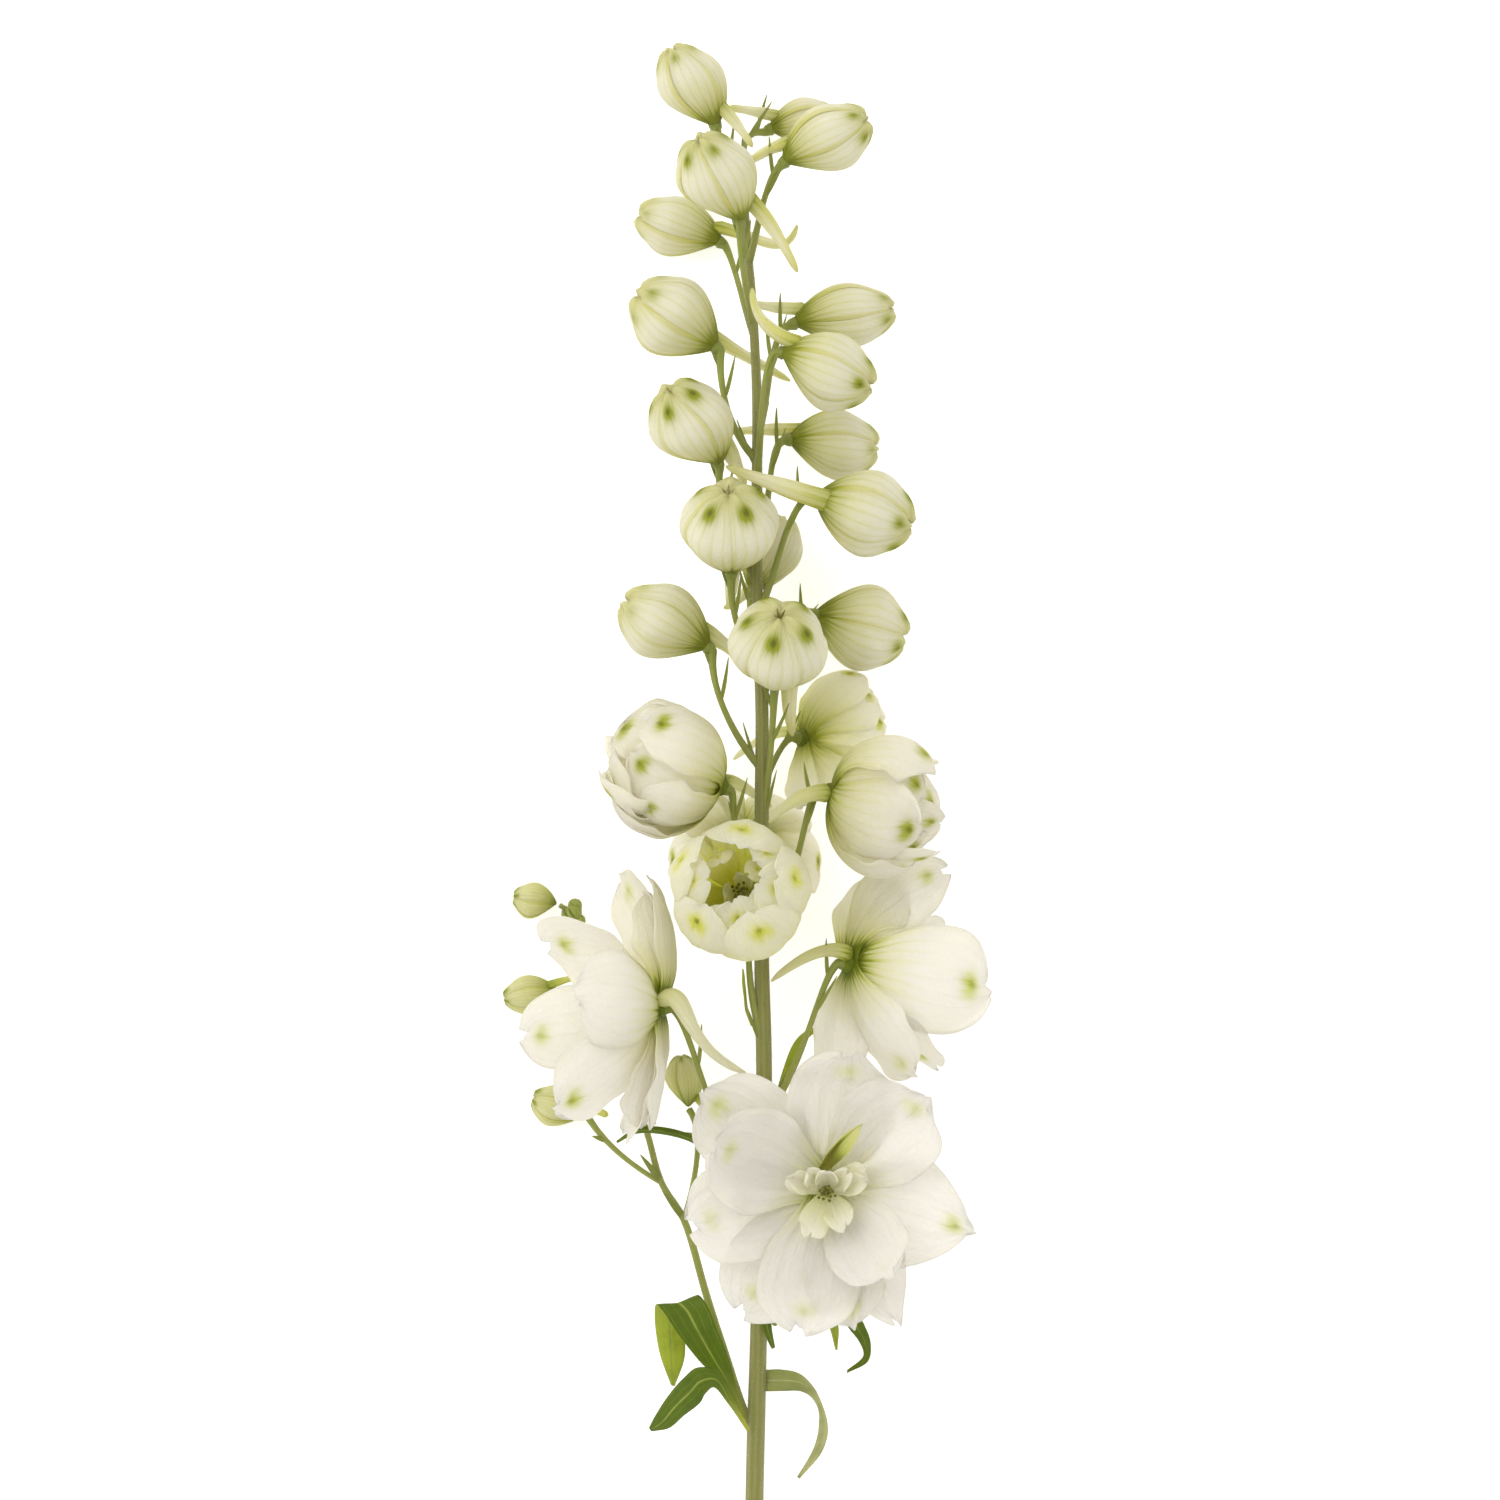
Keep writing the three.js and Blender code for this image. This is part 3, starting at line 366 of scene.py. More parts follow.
# %% A finish: one material and its nodes
class Finish:
    """A material that is built up from expressions."""

    def __init__(self, name):
        self.material = bpy.data.materials.new(name)
        self.material.use_nodes = True
        self.tree = self.material.node_tree
        self.tree.nodes.clear()

    def node(self, kind, settings=None, values=None, output=0):
        """Adds a node: its settings first, then values or links by socket name or number."""
        made = self.tree.nodes.new("ShaderNode" + kind)
        for key, value in (settings or {}).items():
            setattr(made, key, value)
        for key, value in (values or {}).items():
            if isinstance(value, Wire):
                self.tree.links.new(value.socket, made.inputs[key])
            else:
                made.inputs[key].default_value = value
        return Wire(self, made.outputs[output])

    def chart(self, title):
        """The two numbers of one of the piece's own maps."""
        split = self.node("SeparateXYZ", None, {0: self.node("UVMap", {"uv_map": title})})
        return split, Wire(self, split.socket.node.outputs[1])

    def vector(self, x, y):
        return self.node("CombineXYZ", None, {0: x, 1: y})

    def noise(self, place, scale, detail=2.0):
        return self.node("TexNoise", None, {"Vector": place, "Scale": scale, "Detail": detail})

    def blend(self, first, second, mask):
        """Goes from the first colour to the second as the mask goes from 0 to 1."""
        return self.node("Mix", {"data_type": "RGBA"}, {0: mask, 6: first, 7: second}, output=2)

    def bump(self, height, depth, strength=0.5):
        """Relief of a depth in metres, from a height between about 0 and 1."""
        return self.node("Bump", None, {"Strength": strength, "Distance": depth, "Height": height})

    def skin(self, colour, roughness=0.5, **more):
        """A surface lit from its own side; more values have their sockets' names with _ for a space."""
        more = {key.replace("_", " "): value for key, value in more.items()}
        return self.node("BsdfPrincipled", None, {"Base Color": colour, "Roughness": roughness, **more})

    def glow(self, colour, **normal):
        """A surface that shows the light from its other side."""
        return self.node("BsdfTranslucent", None, {"Color": colour, **normal})

    def mix(self, share, first, second):
        """Goes from the first shader to the second as the share goes from 0 to 1."""
        return self.node("MixShader", None, {0: share, 1: first, 2: second})

    def done(self, shader):
        """Ends the tree in a shader and returns the material."""
        out = self.tree.nodes.new("ShaderNodeOutputMaterial")
        self.tree.links.new(shader.socket, out.inputs[0])
        return self.material


print("a finish knows:", [name for name in vars(Finish) if not name.startswith("__")])


# %% Screen colours made linear
def rgb(red, green, blue):
    """A colour from 0..255 screen values, made linear by the sRGB curve."""
    c = np.array([red, green, blue]) / 255
    linear = np.where(c <= 0.04045, c / 12.92, ((c + 0.055) / 1.055) ** 2.4)
    return (*linear, 1.0)


print("half of screen white, made linear:", round(float(rgb(128, 128, 128)[0]), 3))

# %% [markdown]
# ## Petal tissue
#
# A sepal is thin and full of air, so it is lit through as much as it is lit from the front. Its veins
# start together in the narrow claw, run out side by side and are joined by a fine net. Green stays
# in the claw, along the veins, and in a spot just short of the tip. The map makes this simple: u is
# the same all along a vein, and v is the distance from the claw. Part of the surface goes to a
# translucent shader, and less of it where green tissue is thick.

# %% Light through one face
def half_way(colour):
    """Light that shines through a blade crosses two faces, so each takes the square root of the colour."""
    return (*(channel ** 0.5 for channel in colour[:3]), 1.0)


print("each face for light of 0.81, 0.64, 0.49:", [round(c, 2) for c in half_way((0.81, 0.64, 0.49))])

# %% The finish of sepals
SPOT_LONG = 0.065  # half the length of the spot near the tip, as a share of the sepal


def tissue_finish(name, paper, shade, warm, green, deep, blush=0.3, lit=0.66, veins=9.0, spot_at=0.78,
                  spot_wide=0.12, tip_glow=0.0, margin=0.15, line=0.3, claw_depth=0.9, claw_gain=1.0,
                  ribs=0.4, relief_depth=0.0003):
    """Colour: paper, then warm towards the claw, green in the claw itself, a spot near the tip with a
    deep middle. Light that comes through has the shade colour. The mark's first number is the strength
    of the spot. Its second is how green the sheet is from 0 to 1, and from 1 to 2 it goes on to the
    deep colour. blush and tip_glow are how far green and warm reach, lit the share of light let through."""
    f = Finish(name)
    paper, shade, warm, green, deep = (rgb(*colour) for colour in (paper, shade, warm, green, deep))
    across, along = f.chart("tissue")
    spot_strength, tone = f.chart("mark")
    greenness, past_green = tone.capped(), (tone - 1.0).maths("MAXIMUM", 0.0)
    body = f.node("TexCoord", output=3)
    cloud = f.noise(body, 170.0, 3.0)
    wander = f.noise(f.vector(across * 6.0, along * 2.0), 1.0, 3.0)
    streak = f.noise(f.vector(across * 24.0, along * 2.2), 1.0, 2.0)
    middle, drift, comb = across - 0.5, wander - 0.5, streak - 0.5

    def oval(drift_share, comb_share, place, wide, long):
        """A soft oval with a wavering edge, at a place along the middle."""
        return (middle + drift * drift_share).bell(0.0, wide) * (along + comb * comb_share).bell(place, long)

    ridge = (across * veins + drift * 1.3).zigzag().ramp(0.45, 1.0)
    cells = {"Vector": f.vector(across * 12.0 + wander * 1.5, along * 9.0), "Scale": 1.7}
    net = f.node("TexVoronoi", {"feature": "DISTANCE_TO_EDGE"}, cells).ramp(0.12, 0.0)
    from_claw = along + comb * 0.16 - ridge * 0.04 - greenness * 0.35
    glow_zone = from_claw.ramp(blush * 2.2, 0.0) + (along + comb * 0.2).ramp(0.6, 1.0) * tip_glow
    claw = (from_claw.ramp(blush, 0.0) * claw_gain).capped()
    halo = oval(0.1, 0.16, spot_at, spot_wide, SPOT_LONG)
    core = oval(0.06, 0.1, spot_at + 0.01, spot_wide * 0.42, SPOT_LONG * 0.45)
    spot = (halo * spot_strength * (streak + 0.75)).capped()
    core = (core * spot_strength * spot_strength).capped()
    edge = (middle.absolute() * 2.0).ramp(0.7, 1.0)
    soft = (glow_zone * 0.85 + (cloud - 0.5) * 0.3 + edge * margin + greenness * 1.1).capped()
    colour = f.blend(paper, warm, soft.maths("MAXIMUM", 0.0))
    colour = f.blend(colour, warm, ridge * (glow_zone * 0.5 + line))
    colour = f.blend(colour, green, (claw * (ridge * 0.3 + 1.0)).capped())
    colour = f.blend(colour, green, spot)
    colour = f.blend(colour, deep, core)
    colour = f.blend(colour, deep, claw.ramp(0.45, 1.0) * claw_depth)
    colour = f.blend(colour, deep, past_green)
    relief = ridge * ribs + net * 0.22 + cloud * 0.5 + f.noise(body, 900.0, 2.0) * 0.35
    bump = f.bump(relief, relief_depth, 0.6)
    skin = f.skin(colour, 0.55, Specular_IOR_Level=0.25, Normal=bump)
    tint = spot * 0.75 + claw * 0.85 + glow_zone * 0.3 + ridge * line * 0.35 + greenness * 0.4
    shine = f.mix(tint.capped(), *(f.glow(half_way(light), Normal=bump) for light in (shade, green)))
    thick = (core * 0.35 + claw * 0.3 + past_green).capped()
    return f.done(f.mix((1.0 - thick) * lit, skin, shine))


petal_snow = tissue_finish(
    "petal_snow", (243, 240, 234), (245, 241, 231), (238, 234, 196), (204, 210, 96), (122, 134, 34),
    blush=0.17, line=0.03, relief_depth=0.00032, lit=0.52,
)
print("nodes in a petal's finish:", len(petal_snow.node_tree.nodes))

# %% The other petals and the buds
petal_white = tissue_finish(
    "petal_white", (244, 241, 235), (246, 242, 230), (236, 230, 172), (196, 202, 66), (104, 118, 22),
    blush=0.21, claw_gain=1.2, line=0.06, relief_depth=0.00028, lit=0.55,
)
petal_cream = tissue_finish(
    "petal_cream", (253, 250, 243), (252, 248, 234), (238, 232, 170), (190, 196, 64), (108, 118, 26),
    line=0.07, ribs=0.3,
)
petal_lemon = tissue_finish(
    "petal_lemon", (253, 251, 246), (253, 250, 234), (250, 248, 176), (236, 237, 100), (108, 118, 30),
    blush=0.32, line=0.07, lit=0.72, claw_depth=0.0, ribs=0.3,
)
petal_glow = tissue_finish(
    "petal_glow", (253, 250, 243), (252, 249, 234), (244, 240, 164), (208, 212, 72), (108, 118, 28),
    blush=0.32, line=0.07, lit=0.68, claw_depth=0.6, ribs=0.3,
)
bud_cream = tissue_finish(
    "bud_cream", (253, 250, 242), (250, 245, 222), (224, 219, 124), (170, 175, 48), (104, 112, 34),
    blush=0.44, veins=7.0, spot_at=0.85, spot_wide=0.15, tip_glow=0.85, margin=0.5, line=0.08, lit=0.42,
    claw_depth=0.6, claw_gain=1.5, ribs=0.2,
)
print("materials so far:", [material.name for material in bpy.data.materials])

# %% [markdown]
# ## Stem and leaf tissue
#
# The stem is olive with paler ribs and the bloom of fine hairs. The leaves are deep green above with
# pale veins that run lengthwise, and a lighter yellow-green below. Both take their colour from the
# piece's own map, so that ribs and veins follow the piece wherever it bends.

# %% The finish of stems and pedicels
def stem_finish():
    """Olive, mixed with a paler rib colour by a wave across; the mark's first number goes from the
    stem's olive, at 0, to the yellow-green of bracts and receptacles, at 1. The second darkens it."""
    f = Finish("stem_skin")
    across, along = f.chart("tissue")
    fresh, dark = f.chart("mark")
    body = f.node("TexCoord", output=3)
    cloud = f.noise(body, 300.0, 3.0)
    grain = f.noise(f.vector(across * 30.0, along * 60.0), 1.0, 2.0)
    rib = (across * 9.0 + (cloud - 0.5) * 0.3).zigzag()
    olive = f.blend(rgb(138, 138, 70), rgb(174, 172, 114), rib * 0.4 + (grain - 0.5) * 0.45 + 0.05)
    olive = f.blend(olive, rgb(130, 104, 66), (cloud - 0.62).ramp(0.0, 0.12) * 0.25)
    colour = f.blend(olive, rgb(168, 178, 78), fresh)
    colour = f.blend(colour, rgb(92, 108, 36), dark)
    bump = f.bump(rib + grain * 0.4, 0.0002)
    skin = f.skin(colour, Specular_IOR_Level=0.35, Normal=bump, Sheen_Weight=0.25)
    return f.done(f.mix(0.25, skin, f.glow(rgb(190, 190, 96), Normal=bump)))


stem_skin = stem_finish()
print("nodes in the stem's finish:", len(stem_skin.node_tree.nodes))


# %% The finish of leaves
def leaf_finish(name, top, vein, below, lit):
    """The top colour with pale parallel veins; the mark's first number is 1 on the underside, which has
    the below colour, and the second number makes the foot yellow."""
    f = Finish(name)
    across, along = f.chart("tissue")
    underside, yellow = f.chart("mark")
    body = f.node("TexCoord", output=3)
    cloud = f.noise(body, 220.0, 3.0)
    middle = across - 0.5
    aside = middle.absolute()
    side_vein = (1.0 - (aside * 4.6 + (cloud - 0.5) * 0.4).zigzag()).ramp(0.84, 1.0)
    midrib = middle.bell(0.0, 0.035)
    cross_vein = (along * 34.0 + aside * -9.0 + cloud).zigzag().ramp(0.8, 1.0)
    colour = f.blend(top, below, underside * 0.9)
    colour = f.blend(colour, vein, (midrib * 0.75 + side_vein * 0.3 + cross_vein * 0.12).capped())
    colour = f.blend(colour, rgb(44, 66, 14), (cloud - 0.45).ramp(0.0, 0.25) * 0.3)
    colour = f.blend(colour, rgb(196, 196, 76), yellow)
    bump = f.bump(midrib * -0.8 + side_vein * -0.4 + cloud * 0.35, 0.0003)
    skin = f.skin(colour, Specular_IOR_Level=0.25, Normal=bump)
    return f.done(f.mix(lit, skin, f.glow(below, Normal=bump)))


leaf_green = leaf_finish("leaf_green", rgb(86, 108, 20), rgb(172, 184, 84), rgb(182, 194, 60), 0.28)
leaf_pale = leaf_finish("leaf_pale", rgb(158, 168, 52), rgb(194, 200, 100), rgb(184, 194, 78), 0.35)
leaf_grey = leaf_finish("leaf_grey", rgb(144, 152, 88), rgb(206, 208, 156), rgb(204, 204, 146), 0.36)
print("green finishes:", [m.name for m in (stem_skin, leaf_green, leaf_pale, leaf_grey)])

# %% [markdown]
# ## Where everything grows
#
# The spike is irregular, so it is written down as lists: for each bud or bloom its foot, the way it
# points, its size, its spur, and how its pedicel bends. They are the same lists as the solids have.

# %% The stem's line, and the buds from the top down
STEM_LINE = [
    (-1, -197.5, 1.85), (-0.5, -157.5, 8.5), (0, -136.5, 13), (0.5, -117.5, 18), (1.5, -69.5, 26),
    (1, -44, 27.5), (1, -10.5, 28), (1, 10.5, 27.5), (0, 31.5, 27), (0, 56.5, 25.5), (0, 73.5, 24),
    (-1, 94.5, 21.5), (-2, 107, 19.5), (-3, 125, 16.5),
]
# base, heading, rise, length, width, the spur's bends and tip, then the height up the stem of the
# pedicel's foot, with the pedicel's two bends where they are given
BUDS = [
    ((-8.6, 131.5, 20), 120, 8, 18.5, 14, [(-4, 132, 22), (-1, 127, 22.5)], [111]),
    ((2.5, 131.5, 5.55), 12, -8, 14, 10.5, [(-1, 135.5, 7), (-6, 136, 9)],
     [122, (-3.4, 127.5, 13), (-2.6, 131.2, 8)]),
    ((5.5, 123.5, 26), 27, 8, 19.5, 14.5, [(1.5, 126.5, 25), (-2.5, 123, 24)],
     [103, (0.2, 109, 22.5), (1.4, 119.5, 25)]),
    ((-3.5, 111, 31), 118, 25, 20.5, 16.5, [(3.5, 111, 29), (8.5, 100.5, 27)],
     [90, (-2.2, 96.5, 24.5), (-3.9, 104.5, 28)]),
    ((-7.5, 107.5, 6.1), 161, -3, 18, 13, [(1, 109, 7.5), (6, 103, 9), (8.5, 111, 11)],
     [87, (-2.8, 93.5, 17), (-5, 104, 9.5)]),
    ((-8.4, 84.6, 25), 146, 10, 20, 17.5, [(-3.5, 83.5, 18.5), (7, 78, 14)],
     [61, (-5.5, 66, 26), (-8.2, 76, 25.5)]),
    ((7.5, 90, 15), 9, -6, 21, 13.5, [(3, 93, 14), (-3.5, 95, 14)], [66, (2.6, 73, 21.5), (2.6, 88.5, 16.5)]),
    ((5, 83.5, 32), -21, 8, 20, 16.5, [(-1, 88, 32), (-1, 97, 29)], [57, (0.9, 68, 29.5), (1.2, 82.6, 32)]),
    ((-8, 60, 29), 124, 30, 21, 17.5, [(-4, 60.5, 26), (-2.5, 55.5, 20)],
     [36, (-5.5, 44, 22), (-8.6, 53.5, 25.5)]),
    ((6.5, 65.5, 16), -5, -10, 18.5, 15, [(1, 68, 15), (-6, 67, 16)], [44, (3.4, 50, 23), (1.9, 64, 17.5)]),
    ((12.2, 53.2, 31), -17, 5, 20.5, 18.5, [(3, 56, 31), (-6.5, 59.5, 34)],
     [29, (4.5, 36, 28), (5.4, 50.5, 30.5)]),
    ((-5.4, 37, 31), 92, 40, 22, 21, [(-5, 36, 24), (-6, 30, 20)], [18, (-3.4, 21, 28), (-5.8, 30, 29.5)]),
    ((-1, 33.5, 13), 65, -15, 17, 13, [(-2.5, 31.5, 12), (-7, 30, 14)], [24]),
    ((-10, 21.4, 27), 151, 5, 20, 16.5, [(-6, 22.5, 24), (-2.5, 18, 19)],
     [-4, (-4.5, 2, 28), (-10, 12.5, 28)]),
    ((4, 13.5, 33), 87, 50, 22.5, 21, [(6, 11, 27), (7.5, 3, 23)], [-14, (2.6, -7, 29.5), (3.2, 3.5, 30)]),
    ((12, 28.6, 17), -14, -8, 19.5, 18.5, [(5, 30, 16), (-2, 28, 15)], [11]),
]
print("lengths of the buds in mm:", [row[3] for row in BUDS])

# %% The blooms, from the top down
# base, heading, rise, spur, the pedicel's foot and its two bends, then the sepals: where the tip is
# from the base, width, bulge outwards, cup radius, and the twist about its own length if it has one
BLOOMS = [
    ((10, 2.5, 15), -6, -32, [(4, 6, 12), (-5, -2, 12)],
     [-8, (2.5, -5, 20.5), (5.5, 3, 18.5)], [
        (12.5, 14.5, -3, 19, 0.25, 12), (18, 3, -1, 17, 0.25, 12), (14, -9, -3, 16, 0.25, 12),
        (-1.5, -15, 3.5, 12, 0.06, 13), (6, 9, -11, 14, 0.25, 13), (8, -6, -12, 14, 0.25, 13)]),
    ((-8, -7.5, 33), 157, 18, [(-5.5, -5, 21), (3, -12, 18)],
     [-31.5, (-6, -21, 31), (-4.4, -10.8, 31.6)], [
        (-17, 13, 12, 22, 0.36, 11), (-18, -2, 10, 22, 0.34, 11), (-23, 12, 3, 24, 0.4, 12),
        (-24, -2, 1, 22, 0.38, 12), (-23, 5, -7, 24, 0.4, 12), (-26.5, 2, 8, 17, 0.26, 9)]),
    ((15.5, -9, 36), -14, 6, [(9, -8, 41.5), (2.5, -15, 35)],
     [-38, (10, -27, 31), (9.5, -11.5, 35)], [
        (23.5, 5.5, 5, 23, 0.36, 11), (20, -8, 10, 21, 0.34, 11), (19, -16, -1, 22, 0.36, 11),
        (24.5, -6, -6, 23, 0.36, 12), (23, -14, 5, 9, 0.2, 8)]),
    ((-2.5, -31.5, 34), 120, 72, [(-9, -24, 27), (-9, -37, 22)],
     [-61, (-3, -50, 31), (-1.5, -36, 27)], [
        (-2, 13, 20, 22, 0.42, 11), (7, 6, 22, 20, 0.42, 10), (1, -2.5, 24, 22, 0.46, 11),
        (-9, -1, 22, 20, 0.44, 10), (-12, 9, 20, 20, 0.36, 10), (-6, -1.5, 21, 11, 0.35, 9)]),
    ((-3, -19, 21), -80, -65, [(-5, -12.6, 25.4), (-9, -9, 21)],
     [-44, (-1, -34, 26), (-4, -17, 28)], [
        (-16.2, -5.4, -9, 17, 0.2, 16), (17, -6, -13, 17, 0.2, 16), (13.5, -13, -15, 14, 0.2, 16),
        (-9.4, 8.3, -9, 15, 0.2, 16), (11.3, 6.8, -16.5, 15, 0.2, 16), (-3, -16, -14, 16, 0.2, 16)]),
    ((19.5, -45, 30), -12, -22, [(14.5, -39, 33), (3, -48.5, 32)],
     [-77.5, (10, -67, 28), (12.6, -49.5, 33)], [
        (11, 17, -9, 20, 0.18, 18, 35), (20.5, 19.5, -8, 17, 0.15, 18, 55), (29.5, -5, 5, 25, 0.14, 20),
        (14, -23, 5, 20, 0.14, 20), (19, -21.5, -6, 19, 0.12, 20), (-3, -25, -6, 16, 0.05, 18, -30),
        (11, -8, -30.3, 19, 0.1, 18), (20, 6, -19, 18, 0.12, 18)]),
    ((-20.5, -54, 34), 182, -22, [(-14, -47.5, 42), (-17, -62, 43), (-2.4, -67.8, 32)],
     [-94.5, (-9.5, -84, 27), (-13.6, -57, 34)], [
        (-2.5, 27.5, 0, 17, 0.16, 18, 10), (-8.5, 27.5, -9, 17, 0.08, 18, 55),
        (-17.5, 3, 17, 23, 0.2, 18), (-22, -21, 8, 23, 0.14, 20), (-2, -25.5, -1, 21, 0.08, 18, -30),
        (-29, -6, 2, 20, 0.14, 20), (-24, 12.5, -7, 22, 0.2, 20, 60), (-6, -6, -23, 18, 0.12, 18),
        (-7.5, -27, -8, 17, 0.12, 18, -30)]),
    ((14.5, -92, 33), -90, 84, [(18, -87, 27), (20, -79, 19)],
     [-113.5, (4, -105, 24), (14, -94, 23)], [
        (5.5, 28.5, 8, 24, 0.08, 30), (21, 19.5, 10, 24, 0.08, 30), (13.5, -18.5, 10, 19, 0.1, 20),
        (31, -9, 0, 24, 0.04, 40), (15, -28.5, -1, 17, 0.04, 30), (-5.5, -30, 3, 22, 0.06, 30),
        (6, -29, 1, 17, 0.06, 30), (-18, -26, -1, 20, 0.06, 30), (-28.5, -7.5, 3, 23, 0.08, 25),
        (-23.5, 9.5, 9, 24, 0.1, 25), (-26, 20, 4, 23, 0.06, 30)]),
]
print("sepals of the blooms:", [len(row[-1]) for row in BLOOMS])

# %% [markdown]
# ## Closed buds
#
# Five sepals are folded over one another, each with one edge over its neighbour and one edge under.
# A single lathed shape would look like an egg. Here each sepal is its own blade on the bud's profile,
# and it climbs a little from one edge to the other, as roof tiles do. Just short of the tip each has
# a small hood, and the tips crowd together over the bud's mouth.

# %% How wide a bud is at a height
BUD_SHAPE = ((1.15, 0.6), (1.5, 0.68))  # rise and round, on the dorsal side and across from it


def bud_reach(height, turn):
    """Distance from the axis as a share of half the width: near a + (1 - near) b, where a and b are
    sin(pi h^rise)^round for the two sides and near = (1 + cos turn) / 2."""
    a, b = (np.maximum(np.sin(np.pi * height ** rise), 0) ** bend for rise, bend in BUD_SHAPE)
    near = (1 + np.cos(turn)) / 2
    return near * a + (1 - near) * b


print("reach a quarter of the way up, on both sides:", bud_reach(0.25, np.array([0, np.pi])).round(2))

# %% A bud of five overlapping sepals
BUD_SHELL = 0.5  # thickness of a closed sepal
HALF_WRAP = np.radians(48)  # half of the turn that one sepal covers; five of them overlap
TILE_CLIMB = 0.55  # how far one edge lies over the other


def bud_shell(base, facing, up, length, width, seed, ripe=0.5, spot=1.0, rows=28, columns=25):
    """Sepal k covers the turns w = 72 k + 48 s degrees, s in -1..1, and its rows lie at the heights
    h = (1 - cos pi v) / 2. Its point is base + facing h length + (up cos w + side sin w) R, with
    R = reach width / 2 + climb s + hood + keel - groove + ruffle + blunt tip. The riper the bud, the
    deeper the grooves."""
    noise = np.random.default_rng(seed)
    side = np.cross(facing, up)
    v = np.linspace(0.06, 0.965, rows)[:, None]
    s = np.linspace(-1, 1, columns)[None, :]
    h = (1 - np.cos(np.pi * v)) / 2
    swollen = np.sin(np.pi * v)
    patches = []
    for k in range(5):
        slant, phase, swell = noise.uniform(-0.07, 0.07), noise.uniform(0, 6.3), noise.uniform(0.75, 1.25)
        w = 2 * np.pi * k / 5 + HALF_WRAP * s * (1 - 0.1 * v ** 6) + slant * v
        hood = 0.04 * width * swell * np.exp(-((v - 0.82) / 0.1) ** 2 - (s / 0.4) ** 2)
        keel = 0.014 * width * np.exp(-(s / 0.18) ** 2) + 0.003 * width * np.cos(12.5 * s + phase)
        groove = (0.025 + 0.06 * ripe) * width * np.abs(s) ** 3 * swollen ** 0.5
        ruffle = 0.03 * width * np.abs(s) ** 5 * np.sin(11 * v + phase) * v ** 3
        blunt = 0.07 * width * np.exp(-((v - 0.87) / 0.09) ** 2)
        reach = bud_reach(h, w) * width / 2 - BUD_SHELL / 2
        reach = reach + TILE_CLIMB * s * swollen ** 0.6 + hood + keel * swollen - groove + ruffle + blunt
        tip = np.exp(-((v - 0.93) / 0.06) ** 2 - (s / 0.35) ** 2)
        rise = h * length + 0.05 * length * swell * tip - 0.05 * length * np.abs(s) ** 2 * v ** 10
        reach = np.maximum(reach + 0.03 * width * tip, 0.12)
        middle = (base + facing * rise[..., None]
                  + reach[..., None] * (up * np.cos(w)[..., None] + side * np.sin(w)[..., None]))
        patches.append(blade(middle, BUD_SHELL, (spot * (0.8 + 0.4 * noise.random()), 0.0)))
    return patches


print("degrees by which two neighbours overlap:", round(2 * np.degrees(HALF_WRAP)) - 360 // 5)

# %% A spur
SPUR_TIP, SPUR_RINGS = 0.75, 26


def spur(path, root_radius, mark, start=0.28):
    """A flattened tube whose radius is tip + (root - tip) (1 - t), with slight swellings and folds along
    it, rounded off at both ends. Its map begins at start, which is past most of the green claw."""
    t = np.linspace(0, 1, SPUR_RINGS) ** 0.8
    line = bezier(path, 200)[(t * 199).astype(int)]
    radius = SPUR_TIP + (root_radius - SPUR_TIP) * (1 - t)
    radius = radius * (1 + 0.07 * np.sin(9 * t + path[0][0]) * np.sin(np.pi * t))
    radius = radius * np.sqrt(np.maximum(1 - np.maximum((t - 0.9) / 0.1, 0) ** 2, 0.12))
    radius = radius * np.sqrt(np.maximum(1 - np.maximum(1 - t / 0.08, 0) ** 2, 0.2))
    body = tube(line, radius, mark, sides=14, flatten=0.8, lobes=0.07, ribs=3)
    for key in ("quad_map", "triangle_map"):
        body[key] = body[key] * (1.0, 1 - start) + (0.0, start)
    return body


print("a spur's rings:", SPUR_RINGS, "and its tip in mm:", 2 * SPUR_TIP)


# %% How a flower stands
def stance(base, heading, rise, bends):
    """A flower's foot, the way it faces, and the side where its spur sits, which is up the spike for a
    flower with none."""
    base, facing = np.array(base, float), direction(heading, rise)
    return base, facing, square_to(np.subtract(bends[0], base) if bends else (0.0, 1.0, 0.0), facing)


print("the lowest bloom faces:", stance(*BLOOMS[-1][:4])[1].round(2).tolist())

# %% Make the sixteen buds
# how strong the green spots of each bud are
BUD_SPOTS = (0.6, 0.2, 0.9, 0.8, 0.3, 0.5, 0.6, 0.9, 1.1, 0.5, 0.9, 1.15, 0.0, 0.3, 1.25, 0.7)
SPUR_SHARE = 0.14  # the radius of a bud's spur at its root, as a share of the bud's width


def closed_bud(name, row, finish, slot, tone, **shell):
    """A bud and its spur, if it has one, in place of the solid of that name. The spur's root is sunk in
    the bud's shoulder, and tone is how yellow it is."""
    base, heading, rise, length, width, bends = row[:6]
    base, facing, up = stance(base, heading, rise, bends)
    patches = bud_shell(base, facing, up, length, width, **shell)
    if bends:
        radius = SPUR_SHARE * width
        patches.append(spur([base + up * 1.5 * radius + facing * 2 * radius, *bends], radius, (0.0, tone)))
    make_piece(name + "_sepals", patches, finish, name)


for index, row in enumerate(BUDS):
    closed_bud(f"bud_{index + 1:02d}", row, bud_cream, "bud", 0.1,
               seed=index, ripe=index / 16, spot=BUD_SPOTS[index])
print("buds:", len(BUDS))

# %% [markdown]
# ## Open blooms
#
# A sepal grows from a narrow claw, opens to its widest past the middle and rounds off. Its midline
# bulges away from the flower's axis, it is cupped from side to side, and some sepals twist. On that
# plain form go the things that make it a petal: edges that ruffle, a shallow gutter down the middle
# and a small pinch at the green spot.

# %% The outline of a sepal
CLAW, WIDEST, TIP_ROUNDNESS = 0.33, 0.58, 2.8


